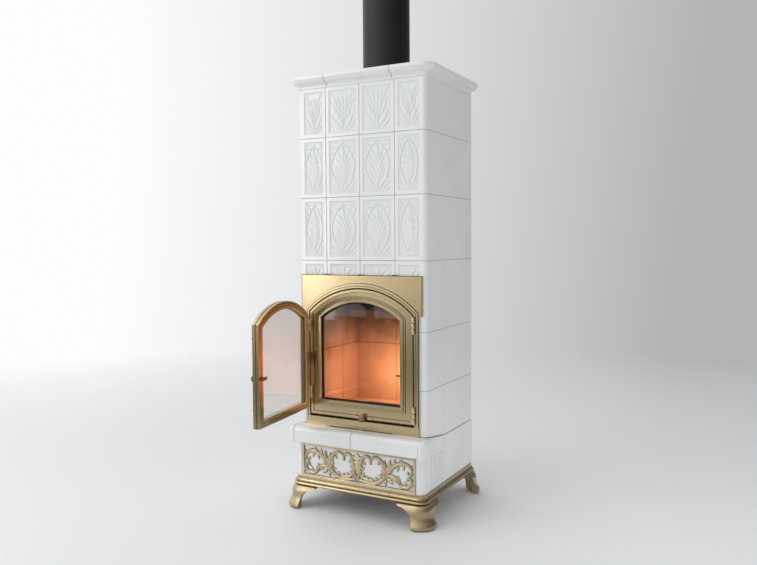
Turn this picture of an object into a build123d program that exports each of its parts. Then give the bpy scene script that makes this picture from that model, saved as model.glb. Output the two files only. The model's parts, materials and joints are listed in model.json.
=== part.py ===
"""Tiled wood stove: a glazed tile column on a brass-footed base, with an arched door and a glass leaf."""
from build123d import *
import math
import os

# ---------------------------------------------------------------- driving dimensions, in mm
# Heights, from the floor up
pad_height = 4
plinth_bottom = 98
plinth_height = 34
base_height = 150
shelf_thickness = 68
course_heights = [205, 247, 259, 280, 232, 182]    # tile courses, from the top down
cornice_height = 49
pipe_rise = 396                                    # flue pipe above the cornice
# Column and base plan
body_width = 590
body_depth = 475
tile_corner_radius = 16
base_width = 596
base_advance = 43                                  # base front ahead of the tile face
base_corner_radius = 28
turn_steps = 8                                     # facets of a moulding round a corner
tile_thickness = 22
tile_joint = 2
grille_joint = 1                                   # between the base tiles and the grille
tile_pitch = 159                                   # front tile joints
corner_return = 168                                # corner tile along the side
tile_frame = 15                                    # plain rim of a relief tile
panel_sink = 3.5
# Shelf
shelf_advance = 72
shelf_half_width = 318
shelf_corner_radius = 26
shelf_nose = 20                                    # rounded front edge
shelf_underside_nose = 8
shelf_joint_x = -12
shelf_side_joint = 289
wing_length = 165
wing_drop = 24
# Cornice and plinth mouldings
cornice_reach = 32
cornice_joint_x = 151
moulding_seat = 9                                  # how far the plinth moulding runs in under the tiles
plinth_reach = 12
plinth_joint_x = 150
# Feet
wing_run = 107                                     # foot wing along the base, from its corner
toe_run = 36
toe_reach = 44
relief_strip = 128
# Grille
grille_frame_bar = 12
grille_stand = 2                                   # its face ahead of the base tiles
grille_plate = 8
scroll_relief = 5
grille_backing_thickness = 10
# Inner construction
core_thickness = 34
board_thickness = 6
base_plate = 14
plate_corner_ease = 1.5                            # clears the inside of the plinth moulding's turns
hearth_deck = 50
hearth_leg = 48
top_slab_thickness = 35
pipe_radius = 100
pipe_wall = 2
pipe_clearance = 0.3
spigot_wall = 4
pipe_setback = 240                                 # pipe axis behind the tile face
pipe_socket = 45
# Door surround
surround_plate = 8
header_half_width = 281
header_bottom = 828
surround_top = 986
jamb_half_width = 265
arch_centre = 588                                  # height of the centre of every arch of the door
arch_steps = 18
opening_half_width = 244
opening_bottom = 387
opening_radius = 345
bead_width = 19
bead_height = 3.5
throat_wall = 6
throat_depth = 18
sill_gap = 3.5
# Door
door_gap = 3
door_air_gap = 9
door_skin = 9
door_face = 7                                      # door face ahead of the tile face
door_rim_set = 2                                   # rim inside the door's edge
door_rim = 7.5
band_height = 2.5
glass_half_width = 185
glass_bottom = 463
glass_radius = 288
moulding_width = 21
moulding_height = 6
edge_band = 14
glass_rebate = 12
glass_thickness = 4
gasket_thickness = 4
clip_thickness = 3
clip_length = 18
clip_heights = [510, 640, 770]
# Hinges
hinge_radius = 5.5
pin_radius = 2.5
pin_clearance = 0.12
knuckle_gap = 0.3
door_axis_x = 246
door_axis_advance = 18
door_hinge_heights = [434, 791]
door_hinge_length = 66
leaf_axis_x = -232
leaf_axis_advance = 17
leaf_hinge_heights = [489, 772]
leaf_hinge_length = 40
# Glass leaf
leaf_angle = 83                                    # how far it stands open
leaf_width = 424
leaf_edge_gap = 16                                 # hinge axis to the leaf's edge
leaf_thickness = 28
leaf_back = 1                                      # leaf's back face ahead of its hinge axis
leaf_bottom = 428
leaf_spring = 818
leaf_peak = 890
leaf_stile = 30
leaf_rebate = 7
leaf_rebate_depth = 8
leaf_strip_height = 4
leaf_strips = [(0, 7, 4), (11, 19, 2.5), (23, 30, 4)]    # outer and inner inset, rise
leaf_grooves = [(7, 8.5), (16, 17.5)]              # outer and inner inset of the lines on its back
leaf_groove_depth = 1.5
strap_thickness = 4
stud_heights = [496, 766]
stud_radius = 6
stud_neck = 3
leaf_latch_height = 614
latch_spindle = 3.5
latch_knob = 9
tongue_length = 30
tongue_width = 12
tongue_thickness = 7
keeper_gap = 0.3
keeper_lip = 1.4
keeper_height = 8
# Lever and air slide
lever_x = -226
lever_height = 653
lever_hinge_gap = 14                               # between the lever's end and the hinge below it
lever_loop = 0.4                                   # loop's share of its length
lever_width = 12
lever_thickness = 8
spindle_radius = 5
lever_boss = 8
lever_face = -22                                   # depth of its front, from the tile face
cam_reach = 15
cam_width = 8
cam_depth = 3.5
cam_thickness = 4
slide_x = 13
slide_length = 90
slide_bar = 3
slide_height = 12
slide_low = 398
air_slot_width = 20
air_slot_height = 3
slide_play = 0.3
slide_guide_x = 26
slide_guide_width = 8
knob_radius = 12
knob_height = 402
# Firebox
casing_wall = 4
casing_half_width = 232
casing_flange = 250                                # half width of the front flange
casing_depth = 330
casing_height = 600
mouth_half_width = 222
mouth_bottom = 408
mouth_radius = 326
brick_thickness = 30
hearth_level = 415
lining_height = 420
lining_groove = 3
baffle_thickness = 12
baffle_setback = 70
grate_width = 180
grate_depth = 130
grate_setback = 150                                # grate's middle behind the casing front
grate_thickness = 10
grate_ledge = 8
grate_slots = 9
pan_wall = 2
fit_clearance = 0.5

# ---------------------------------------------------------------- derived places
half_width = body_width / 2
base_half = base_width / 2
plinth_top = plinth_bottom + plinth_height
shelf_bottom = plinth_top + base_height
shelf_top = shelf_bottom + shelf_thickness
cornice_bottom = shelf_top + sum(course_heights)
cornice_top = cornice_bottom + cornice_height
side_seam = shelf_top - wing_drop
grille_half = base_half - base_corner_radius - 3
grille_top = shelf_bottom - 4
casing_front = throat_depth
casing_bottom = shelf_top
casing_top = casing_bottom + casing_height
pipe_top = cornice_top + pipe_rise
door_half_width = opening_half_width - door_gap
door_radius = opening_radius - door_gap
door_bottom = opening_bottom + door_air_gap
lever_length = lever_height - leaf_hinge_heights[0] - leaf_hinge_length / 2 - lever_hinge_gap
slide_face = -door_face - band_height - slide_bar
leaf_turn = math.radians(leaf_angle)
outer_corner = leaf_back + leaf_thickness
leaf_reach = leaf_axis_advance + leaf_width * math.sin(leaf_turn) + outer_corner * math.cos(leaf_turn)
rear_reach = body_depth + toe_reach
front_y = (leaf_reach - rear_reach) / 2            # tile face, with the part's box centred on the origin

os.makedirs("parts", exist_ok=True)


def save(part, name):
    part.label = name
    export_step(part, f"parts/{name}.step")


def plan(z):
    """Level plane: x across the stove, y the distance behind the tile face."""
    return Plane(origin=(0, front_y, z))


def upright(depth):
    """Plane parallel to the tile face: x across, y up, and its normal towards the viewer."""
    return Plane(origin=(0, front_y + depth, 0), x_dir=(1, 0, 0), z_dir=(0, -1, 0))


def crosswise(x):
    """Plane square to the tile face: x the distance behind the face, y up, normal towards +X."""
    return Plane(origin=(x, front_y, 0), x_dir=(0, 1, 0), z_dir=(1, 0, 0))


def leaf_plane(advance):
    """Plane of the open leaf: x from its hinge axis to its free edge, y up, normal to its outer face."""
    across = (math.cos(leaf_turn), -math.sin(leaf_turn), 0)
    outward = (-math.sin(leaf_turn), -math.cos(leaf_turn), 0)
    hinge = (leaf_axis_x, front_y - leaf_axis_advance, 0)
    return Plane(origin=hinge, x_dir=across, z_dir=outward).offset(advance)


def block(x, depth, z, mode=Mode.ADD):
    """Box between two values each of x, depth behind the tile face, and height."""
    middle = (sum(x) / 2, front_y + sum(depth) / 2, sum(z) / 2)
    with Locations(middle):
        Box(abs(x[1] - x[0]), abs(depth[1] - depth[0]), abs(z[1] - z[0]), mode=mode)


def post(x, depth, z, radius, mode=Mode.ADD):
    """Upright cylinder between two heights."""
    with Locations((x, front_y + depth, sum(z) / 2)):
        Cylinder(radius, abs(z[1] - z[0]), mode=mode)


def chords(start, through, end, steps):
    """Points along the arc through three points."""
    arc = Edge.make_three_point_arc(start, through, end)
    places = [arc.position_at(step / steps) for step in range(steps + 1)]
    return [(place.X, place.Y) for place in places]


def arched(half_width, bottom, radius, middle=0, centre=arch_centre):
    """Face with straight sides and a round top."""
    spring = centre + math.sqrt(radius**2 - half_width**2)
    right = (middle + half_width, spring)
    left = (middle - half_width, spring)
    top = chords(right, (middle, centre + radius), left, arch_steps)
    with BuildSketch() as face:
        with BuildLine():
            Polyline((middle - half_width, bottom), (middle + half_width, bottom), *top, close=True)
        make_face()
    return face.sketch


def moulding_run(section, start, outward, length):
    """Straight length of a moulding, whose section is drawn outwards and up."""
    normal = Vector(*outward).cross(Vector(0, 0, 1))
    with BuildPart() as run:
        with BuildSketch(Plane(origin=start, x_dir=outward, z_dir=normal)):
            add(section)
        extrude(amount=length)
    return run.part


def moulding_corner(section, centre, radius, start_angle):
    """Quarter turn of a moulding round an upright axis, as a ruled loft through equal steps."""
    with BuildPart() as corner:
        for step in range(turn_steps + 1):
            turn = math.radians(start_angle + 90 * step / turn_steps)
            outward = Vector(math.cos(turn), math.sin(turn), 0)
            start = Vector(*centre) + outward * radius
            with BuildSketch(Plane(origin=start, x_dir=outward, z_dir=outward.cross(Vector(0, 0, 1)))):
                add(section)
        loft(ruled=True)
    return corner.part


def quarter_post(centre, radius, start_angle, height):
    """Quarter of an upright post, in the same steps as a moulding's turn."""
    angles = [math.radians(start_angle + 90 * step / turn_steps) for step in range(turn_steps + 1)]
    rim = [(radius * math.cos(angle), radius * math.sin(angle)) for angle in angles]
    with BuildPart() as quarter:
        with BuildSketch(Plane(origin=centre)):
            with BuildLine():
                Polyline((0, 0), *rim, close=True)
            make_face()
        extrude(amount=height)
    return quarter.part


# ---------------------------------------------------------------- feet and plinth
base_mid_depth = (body_depth - base_advance) / 2
corner_x = base_half - base_corner_radius
corner_depth = base_corner_radius - base_advance
corner_centre = (corner_x, front_y + corner_depth, 0)
foot_leg = wing_run - base_corner_radius

# foot section: a cabriole knee, a waist and a flared toe
knee = chords((10, plinth_bottom), (23, 86), (28, 68), 3)
waist = chords((28, 68), (30, 42), (toe_reach - 3, 22), 4)
toe = chords((toe_reach - 3, 22), (toe_reach, 13), (toe_reach - 5, pad_height), 3)
foot_inside = [(14, pad_height), (14, 52), (-6, 84), (-6, plinth_bottom)]
with BuildSketch() as foot_section:
    with BuildLine():
        Polyline(*knee, *waist[1:], *toe[1:], *foot_inside, close=True)
    make_face()

# what is cut from a foot wing: u runs from the corner of the base along the wing
bracket_low = -5
bracket_end = wing_run + 90
bracket_lip = chords((wing_run, 92), (wing_run - 4, 86), (wing_run - 13, 84), 2)
bracket_arch = chords((wing_run - 24, 83), (toe_run + 14, 62), (toe_run, 24), 5)
bracket_rest = [(toe_run - 2, bracket_low), (bracket_end, bracket_low), (bracket_end, plinth_bottom + 1)]
with BuildSketch() as bracket:
    with BuildLine():
        Polyline((wing_run, plinth_bottom + 1), *bracket_lip, *bracket_arch, *bracket_rest, close=True)
    make_face()

side_end = (base_half, front_y + corner_depth + foot_leg, 0)
front_end = (corner_x, front_y - base_advance, 0)
foot_corner = moulding_corner(foot_section.sketch, corner_centre, base_corner_radius, -90)
foot_front_wing = moulding_run(foot_section.sketch, front_end, (0, -1, 0), foot_leg)
foot_side_wing = moulding_run(foot_section.sketch, side_end, (1, 0, 0), foot_leg)
lug_inset = moulding_seat + 7.5                    # clears the moulding's rounded inner corner
lug_x = (base_half - wing_run + 8, base_half - lug_inset)
lug_depth = (lug_inset - base_advance, wing_run - base_advance - 8)
plate_bottom = plinth_top - base_plate

with BuildPart() as foot_front_right:
    add(foot_corner)
    add(foot_front_wing)
    add(foot_side_wing)
    block((lug_x[0], base_half - 2), (2 - base_advance, lug_depth[1]), (84, plinth_bottom))
    block(lug_x, lug_depth, (plinth_bottom, plate_bottom))
    with BuildSketch(Plane(origin=(base_half, front_y + 20, 0), x_dir=(-1, 0, 0), z_dir=(0, 1, 0))):
        add(bracket.sketch)
    extrude(amount=-120, mode=Mode.SUBTRACT)
    with BuildSketch(Plane(origin=(corner_x - 30, front_y - base_advance, 0), x_dir=(0, 1, 0), z_dir=(1, 0, 0))):
        add(bracket.sketch)
    extrude(amount=120, mode=Mode.SUBTRACT)
save(foot_front_right.part, "foot_front_right")

with BuildPart() as foot_front_left:
    mirror(foot_front_right.part, about=Plane.YZ)
save(foot_front_left.part, "foot_front_left")

base_middle = Plane(origin=(0, front_y + base_mid_depth, 0), x_dir=(1, 0, 0), z_dir=(0, 1, 0))
with BuildPart() as foot_back_right:
    mirror(foot_front_right.part, about=base_middle)
save(foot_back_right.part, "foot_back_right")

with BuildPart() as foot_back_left:
    mirror(foot_front_left.part, about=base_middle)
save(foot_back_left.part, "foot_back_left")

with BuildSketch() as pad_section:
    with Locations((18, 0)):
        Rectangle(toe_reach - 26, pad_height, align=(Align.MIN, Align.MIN))
pad_right = moulding_corner(pad_section.sketch, corner_centre, base_corner_radius, -90)
with BuildPart() as foot_pads:
    add(pad_right)
    mirror(pad_right, about=Plane.YZ)
    mirror(foot_pads.part, about=base_middle)
save(foot_pads.part, "foot_pads")

with BuildPart() as base_plate_part:
    with BuildSketch(plan(plate_bottom)):
        with Locations((0, base_mid_depth)):
            RectangleRounded(
                base_width - 2 * moulding_seat,
                body_depth + base_advance - 2 * moulding_seat,
                base_corner_radius - moulding_seat + plate_corner_ease,
            )
    extrude(amount=base_plate)
save(base_plate_part.part, "base_plate")

# plinth moulding: a torus over a fillet and a hollow
torus = chords((plinth_reach, 0), (plinth_reach + 6, 6), (plinth_reach, 12), 4)
hollow = chords((plinth_reach - 3, 16), (plinth_reach - 7.5, 19), (4, 28), 3)
with BuildSketch() as plinth_section:
    with BuildLine():
        Polyline(
            (-moulding_seat, 0),
            *torus,
            (plinth_reach - 3, 12),
            *hollow,
            (4, plinth_height),
            (-moulding_seat, plinth_height),
            close=True,
        )
    make_face()

front_corner_depth = corner_depth
back_corner_depth = body_depth - base_corner_radius
plinth_z = plinth_bottom
for name, start, outward, length in (
    ("front", (plinth_joint_x - 0.2, front_y - base_advance, plinth_z), (0, -1, 0), 2 * plinth_joint_x - 0.4),
    ("back", (0.2 - plinth_joint_x, front_y + body_depth, plinth_z), (0, 1, 0), 2 * plinth_joint_x - 0.4),
):
    with BuildPart() as plinth_straight:
        add(moulding_run(plinth_section.sketch, start, outward, length))
    save(plinth_straight.part, f"plinth_moulding_{name}")

plinth_stub = corner_x - plinth_joint_x
plinth_side = back_corner_depth - front_corner_depth
right_front = (corner_x, front_y + front_corner_depth, plinth_z)
right_back = (corner_x, front_y + back_corner_depth, plinth_z)
with BuildPart() as plinth_right:
    add(moulding_run(plinth_section.sketch, (corner_x, front_y - base_advance, plinth_z), (0, -1, 0), plinth_stub))
    add(moulding_corner(plinth_section.sketch, right_front, base_corner_radius, -90))
    add(moulding_run(plinth_section.sketch, (base_half, right_back[1], plinth_z), (1, 0, 0), plinth_side))
    add(moulding_corner(plinth_section.sketch, right_back, base_corner_radius, 0))
    add(
        moulding_run(
            plinth_section.sketch, (plinth_joint_x, front_y + body_depth, plinth_z), (0, 1, 0), plinth_stub
        )
    )
save(plinth_right.part, "plinth_moulding_right")
with BuildPart() as plinth_left:
    mirror(plinth_right.part, about=Plane.YZ)
save(plinth_left.part, "plinth_moulding_left")

# ---------------------------------------------------------------- base
strip_start = corner_return - tile_joint - relief_strip
with BuildPart() as base_tiles_right:
    # rounded corner tile
    with BuildSketch(plan(plinth_top)):
        with BuildLine():
            Line((grille_half + grille_joint, -base_advance), (corner_x, -base_advance))
            CenterArc((corner_x, corner_depth), base_corner_radius, -90, 90)
            Polyline(
                (base_half, corner_depth),
                (base_half, strip_start - tile_joint),
                (base_half - tile_thickness, strip_start - tile_joint),
                (base_half - tile_thickness, tile_thickness - base_advance),
                (grille_half + grille_joint, tile_thickness - base_advance),
                (grille_half + grille_joint, -base_advance),
            )
        make_face()
    extrude(amount=base_height)
    # relief strip tile, with a sunk panel
    strip = (strip_start, corner_return - tile_joint)
    block((base_half - tile_thickness, base_half), strip, (plinth_top, shelf_bottom))
    block(
        (base_half - panel_sink, base_half + 1),
        (strip[0] + tile_frame, strip[1] - tile_frame),
        (plinth_top + tile_frame, shelf_bottom - tile_frame),
        mode=Mode.SUBTRACT,
    )
    # plain tile
    block((base_half - tile_thickness, base_half), (corner_return, body_depth), (plinth_top, side_seam - tile_joint))
save(base_tiles_right.part, "base_tiles_right")
with BuildPart() as base_tiles_left:
    mirror(base_tiles_right.part, about=Plane.YZ)
save(base_tiles_left.part, "base_tiles_left")

# ---------------------------------------------------------------- scroll grille
grille_face = base_advance + grille_stand
scroll_back = grille_face - grille_plate
panel_low = plinth_top + grille_frame_bar
panel_high = grille_top - grille_frame_bar
panel_middle = (panel_low + panel_high) / 2
panel_half = (panel_high - panel_low) / 2
ornament_scale = panel_half / 61                   # the ornament is drawn for a panel 122 high


def ribbon(upper, lower):
    """Face between two lines of points that run the same way."""
    with BuildSketch() as face:
        with BuildLine():
            Polyline(*upper, *lower[::-1], close=True)
        make_face()
    return face.sketch


def branch(points, widths, steps):
    """Stem along a smooth line through the points; widths at its start, middle and end."""
    line = Edge.make_spline([Vector(*point) for point in points])
    left = []
    right = []
    for step in range(steps + 1):
        share = step / steps
        place = line.position_at(share)
        along = line.tangent_at(share)
        swell = math.sin(math.pi * share)
        half = (widths[0] * (1 - share) + widths[2] * share) * (1 - swell) / 2 + widths[1] * swell / 2
        left.append((place.X - half * along.Y, place.Y + half * along.X))
        right.append((place.X + half * along.Y, place.Y - half * along.X))
    return ribbon(left, right)


def leaflet(root, length, direction, width):
    """Pointed leaf, fullest a little before its middle."""
    turn = math.radians(direction)
    along = (math.cos(turn), math.sin(turn))
    left = []
    right = []
    for share, swell in ((0, 0.5), (0.45, 1), (1, 0)):
        middle = (root[0] + share * length * along[0], root[1] + share * length * along[1])
        aside = swell * width / 2
        left.append((middle[0] - aside * along[1], middle[1] + aside * along[0]))
        right.append((middle[0] + aside * along[1], middle[1] - aside * along[0]))
    return ribbon(left, right[:-1])


# one half of the ornament, from the middle of the panel outwards
# stems: points, widths at the start, middle and end, and number of chords
stems = [
    ([(5, -50), (45, -57), (88, -54), (118, -32), (128, 4), (112, 38), (84, 50), (64, 38), (62, 22)], (9, 12, 6), 16),
    ([(2, -44), (14, -20), (16, 10), (26, 38), (46, 50), (60, 42), (62, 22)], (9, 9, 6), 11),
    ([(14, -8), (22, -32), (44, -45), (74, -47)], (6, 11, 6), 5),
    (
        [(84, -53), (120, -36), (146, -2), (172, 28), (208, 42), (242, 32), (251, 8), (240, -2), (230, 8)],
        (8, 11, 6),
        16,
    ),
    (
        [(126, -28), (158, -14), (182, -26), (198, -47), (222, -54), (244, -42), (250, -22), (238, -12), (229, -22)],
        (7, 10, 6),
        16,
    ),
    ([(138, -14), (133, 14), (126, 40)], (6, 9, 4), 3),
    ([(143, -6), (147, 20), (152, 46)], (6, 8, 4), 3),
]
eyes = [(62, 22), (74, -47), (230, 8), (229, -22)]
eye_radius = 5.5
# leaves: root, length, direction and width
leaves = [
    ((4, 10), 42, 62, 12),
    ((3, 28), 28, 55, 10),
    ((26, -38), 20, 50, 10),
    ((44, -46), 22, 75, 10),
    ((64, -50), 20, 100, 10),
    ((17, -14), 20, 20, 9),
    ((88, -50), 20, 120, 10),
    ((118, -24), 18, 170, 9),
    ((124, 2), 17, 185, 9),
    ((110, 32), 16, 215, 8),
    ((150, -17), 30, -72, 11),
    ((166, -18), 28, -98, 10),
    ((200, 40), 20, 110, 9),
    ((176, 30), 22, 130, 9),
    ((160, 14), 22, 150, 9),
    ((212, 40), 26, -60, 9),
    ((190, 36), 24, -78, 9),
    ((212, -52), 22, 62, 9),
    ((246, 28), 17, 40, 8),
    ((250, -38), 17, -40, 8),
]
with BuildSketch() as half_ornament:
    for stem in stems:
        add(branch(*stem))
    for eye in eyes:
        with Locations(eye):
            RegularPolygon(eye_radius, 7)
    for leaf in leaves:
        add(leaflet(*leaf))
with BuildSketch() as ornament:
    add(half_ornament.sketch)
    mirror(half_ornament.sketch, about=Plane.YZ)
    add(leaflet((0, -22), 76, 90, 18))
    add(leaflet((0, 28), 38, 90, 22))
    add(leaflet((0, -40), 28, -90, 16))

with BuildPart() as scroll_grille:
    with BuildSketch(upright(-scroll_back)):
        with Locations((0, (plinth_top + grille_top) / 2)):
            Rectangle(2 * grille_half, grille_top - plinth_top)
        with Locations((0, panel_middle)):
            Rectangle(2 * (grille_half - grille_frame_bar), 2 * panel_half, mode=Mode.SUBTRACT)
    extrude(amount=grille_plate)
    with BuildSketch(upright(-scroll_back)):
        with Locations((0, panel_middle)):
            add(scale(ornament.sketch, by=ornament_scale))
            Rectangle(2 * grille_half - grille_frame_bar, 2 * panel_half + grille_frame_bar, mode=Mode.INTERSECT)
    extrude(amount=scroll_relief)
save(scroll_grille.part, "scroll_grille")

with BuildPart() as grille_backing:
    block((-grille_half, grille_half), (-scroll_back, grille_backing_thickness - scroll_back), (plinth_top, shelf_bottom))
save(grille_backing.part, "grille_backing")

# ---------------------------------------------------------------- shelf
# section of the front edge, drawn from the inner edge outwards
shelf_inner = tile_thickness
with BuildSketch() as shelf_section:
    with BuildLine():
        Line((-shelf_inner - shelf_advance, 0), (-shelf_underside_nose, 0))
        JernArc((-shelf_underside_nose, 0), (1, 0), shelf_underside_nose, 90)
        Line((0, shelf_underside_nose), (0, shelf_thickness - shelf_nose))
        JernArc((0, shelf_thickness - shelf_nose), (0, 1), shelf_nose, 90)
        Polyline(
            (-shelf_nose, shelf_thickness),
            (-shelf_inner - shelf_advance, shelf_thickness),
            (-shelf_inner - shelf_advance, 0),
        )
    make_face()

for name, left, right in (
    ("left", -shelf_side_joint, shelf_joint_x),
    ("right", shelf_joint_x, shelf_side_joint),
):
    length = right - left - tile_joint
    start = (right - tile_joint / 2, front_y - shelf_advance, shelf_bottom)
    with BuildPart() as shelf_front:
        add(moulding_run(shelf_section.sketch, start, (0, -1, 0), length))
    save(shelf_front.part, f"shelf_front_{name}")

shelf_corner_x = shelf_half_width - shelf_corner_radius
shelf_corner_depth = shelf_corner_radius - shelf_advance
drop_angle = math.degrees(math.atan2(wing_drop, wing_length))
with BuildPart() as shelf_corner_right:
    with BuildSketch(plan(shelf_bottom)):
        with BuildLine():
            Line((shelf_side_joint, -shelf_advance), (shelf_corner_x, -shelf_advance))
            CenterArc((shelf_corner_x, shelf_corner_depth), shelf_corner_radius, -90, 90)
            Polyline(
                (shelf_half_width, shelf_corner_depth),
                (base_half, wing_length),
                (half_width - tile_thickness, wing_length),
                (half_width - tile_thickness, tile_thickness),
                (shelf_side_joint, tile_thickness),
                (shelf_side_joint, -shelf_advance),
            )
        make_face()
    extrude(amount=shelf_thickness)
    nose_edges = (
        shelf_corner_right.edges()
        .filter_by(lambda edge: edge.center().Z > shelf_top - 0.1)
        .filter_by(
            lambda edge: edge.center().Y < front_y - shelf_advance / 2
            or edge.center().X > base_half + 1
        )
        .filter_by(lambda edge: edge.center().X > shelf_side_joint + 0.6)
    )
    fillet(nose_edges, shelf_nose * 0.75)
    with BuildSketch(crosswise(half_width - tile_thickness - 5)):
        with BuildLine():
            Polyline(
                (0, shelf_top),
                (wing_length + 20, shelf_top - (wing_length + 20) * wing_drop / wing_length),
                (wing_length + 20, shelf_top + 5),
                (0, shelf_top + 5),
                (0, shelf_top),
            )
        make_face()
    extrude(amount=80, mode=Mode.SUBTRACT)
save(shelf_corner_right.part, "shelf_corner_right")
with BuildPart() as shelf_corner_left:
    mirror(shelf_corner_right.part, about=Plane.YZ)
save(shelf_corner_left.part, "shelf_corner_left")

# ---------------------------------------------------------------- tile column
course_tops = [cornice_bottom - sum(course_heights[:row]) for row in range(len(course_heights))]
course_bottoms = [top - height for top, height in zip(course_tops, course_heights)]
core_face = tile_thickness


def corner_tile_outline(front_edge):
    """Plan of the right-hand corner tile, whose front leg starts at front_edge."""
    with BuildSketch() as outline:
        with BuildLine():
            Line((front_edge, 0), (half_width - tile_corner_radius, 0))
            CenterArc(
                (half_width - tile_corner_radius, tile_corner_radius), tile_corner_radius, -90, 90
            )
            Polyline(
                (half_width, tile_corner_radius),
                (half_width, corner_return - tile_joint),
                (half_width - tile_thickness, corner_return - tile_joint),
                (half_width - tile_thickness, tile_thickness),
                (front_edge, tile_thickness),
                (front_edge, 0),
            )
        make_face()
    return outline.sketch


def sink_panel(left, right, low, high):
    """Sunk panel of a relief tile, inside its plain rim."""
    block(
        (left + tile_frame, right - tile_frame), (-1, panel_sink), (low + tile_frame, high - tile_frame), Mode.SUBTRACT
    )


relief_courses = 3
strip_bottom = surround_top + tile_joint
corner_left_edge = tile_pitch + tile_joint / 2
corner_front_end = half_width - tile_corner_radius
with BuildPart() as corner_tiles_right:
    for row, (low, high) in enumerate(zip(course_bottoms, course_tops)):
        bottom = low + tile_joint
        beside_header = row == relief_courses
        if row <= relief_courses:
            front_edge = corner_left_edge
        else:
            front_edge = opening_half_width + throat_wall + 0.5
        with BuildSketch(plan(bottom)):
            add(corner_tile_outline(front_edge))
        extrude(amount=high - bottom)
        if beside_header:
            # the brass surround takes the place of the lower part of the front leg
            block(
                (front_edge - 1, opening_half_width + throat_wall + 0.5),
                (-1, tile_thickness + 1),
                (bottom - 1, strip_bottom),
                Mode.SUBTRACT,
            )
            sink_panel(front_edge, corner_front_end, strip_bottom - 2 * tile_frame, high)
        elif row < relief_courses:
            sink_panel(front_edge, corner_front_end, bottom, high)
    # the lowest return runs down along the sloping end of the shelf
    low_return = (side_seam, shelf_top + tile_joint + 1)
    block((half_width - tile_thickness, half_width), (tile_thickness, corner_return - tile_joint), low_return)
    with BuildSketch(crosswise(half_width - tile_thickness - 1)):
        with BuildLine():
            Polyline(
                (tile_thickness, shelf_top + tile_joint - tile_thickness * wing_drop / wing_length),
                (corner_return, shelf_top + tile_joint - corner_return * wing_drop / wing_length),
                (corner_return, side_seam - 10),
                (tile_thickness, side_seam - 10),
                (tile_thickness, shelf_top + tile_joint - tile_thickness * wing_drop / wing_length),
            )
        make_face()
    extrude(amount=tile_thickness + 2, mode=Mode.SUBTRACT)
save(corner_tiles_right.part, "corner_tiles_right")
with BuildPart() as corner_tiles_left:
    mirror(corner_tiles_right.part, about=Plane.YZ)
save(corner_tiles_left.part, "corner_tiles_left")

for row in range(relief_courses + 1):
    bottom = max(course_bottoms[row] + tile_joint, strip_bottom)
    top = course_tops[row]
    with BuildPart() as relief_tiles:
        for left in (tile_joint / 2 - tile_pitch, tile_joint / 2):
            right = left + tile_pitch - tile_joint
            block((left, right), (0, tile_thickness), (bottom, top))
            if row < relief_courses:
                sink_panel(left, right, bottom, top)
            else:
                sink_panel(left, right, bottom - 2 * tile_frame, top)
    save(relief_tiles.part, f"relief_tiles_course_{row + 1}")

with BuildPart() as side_tiles_right:
    for low, high in zip(course_bottoms, course_tops):
        bottom = low + tile_joint
        if low == shelf_top:
            bottom = side_seam
        block((half_width - tile_thickness, half_width), (corner_return, body_depth), (bottom, high))
save(side_tiles_right.part, "side_tiles_right")
with BuildPart() as side_tiles_left:
    mirror(side_tiles_right.part, about=Plane.YZ)
save(side_tiles_left.part, "side_tiles_left")

# ---------------------------------------------------------------- cornice
# section: bead, hollow, quarter round and a square edge
cornice_hollow = chords((3, 7), (6.8, 16.2), (16, 20), 3)
cornice_round = chords((16, 20), (24.5, 23.5), (28, 32), 3)
with BuildSketch() as cornice_section:
    with BuildLine():
        Polyline(
            (-tile_thickness, 0),
            (3, 0),
            *cornice_hollow,
            *cornice_round[1:],
            (cornice_reach, 35),
            (cornice_reach, cornice_height - 3),
            (cornice_reach - 3, cornice_height),
            (-tile_thickness, cornice_height),
            close=True,
        )
    make_face()
cornice_corner_x = half_width - tile_corner_radius
cornice_front = front_y
cornice_back = front_y + body_depth
cornice_stub = cornice_corner_x - cornice_joint_x - tile_joint / 2
cornice_z = cornice_bottom
for name, start, outward in (
    ("front", (cornice_joint_x - tile_joint / 2, cornice_front, cornice_z), (0, -1, 0)),
    ("back", (tile_joint / 2 - cornice_joint_x, cornice_back, cornice_z), (0, 1, 0)),
):
    with BuildPart() as cornice_straight:
        add(moulding_run(cornice_section.sketch, start, outward, 2 * cornice_joint_x - tile_joint))
    save(cornice_straight.part, f"cornice_{name}")

front_turn = (cornice_corner_x, cornice_front + tile_corner_radius, cornice_z)
back_turn = (cornice_corner_x, cornice_back - tile_corner_radius, cornice_z)
cornice_side = body_depth - 2 * tile_corner_radius
# round the turns a quarter post takes the place of the section's plain inner part
turn_core = tile_corner_radius / 2
with BuildSketch() as cornice_turn_section:
    add(cornice_section.sketch)
    with Locations((turn_core - tile_corner_radius, -1)):
        Rectangle(tile_thickness, cornice_height + 2, align=(Align.MAX, Align.MIN), mode=Mode.SUBTRACT)
with BuildPart() as cornice_right:
    add(moulding_run(cornice_section.sketch, (cornice_corner_x, cornice_front, cornice_z), (0, -1, 0), cornice_stub))
    add(moulding_corner(cornice_turn_section.sketch, front_turn, tile_corner_radius, -90))
    add(quarter_post(front_turn, turn_core, -90, cornice_height))
    add(moulding_run(cornice_section.sketch, (half_width, back_turn[1], cornice_z), (1, 0, 0), cornice_side))
    add(moulding_corner(cornice_turn_section.sketch, back_turn, tile_corner_radius, 0))
    add(quarter_post(back_turn, turn_core, 0, cornice_height))
    add(
        moulding_run(
            cornice_section.sketch,
            (cornice_joint_x + tile_joint / 2, cornice_back, cornice_z),
            (0, 1, 0),
            cornice_stub,
        )
    )
save(cornice_right.part, "cornice_right")
with BuildPart() as cornice_left:
    mirror(cornice_right.part, about=Plane.YZ)
save(cornice_left.part, "cornice_left")

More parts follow.
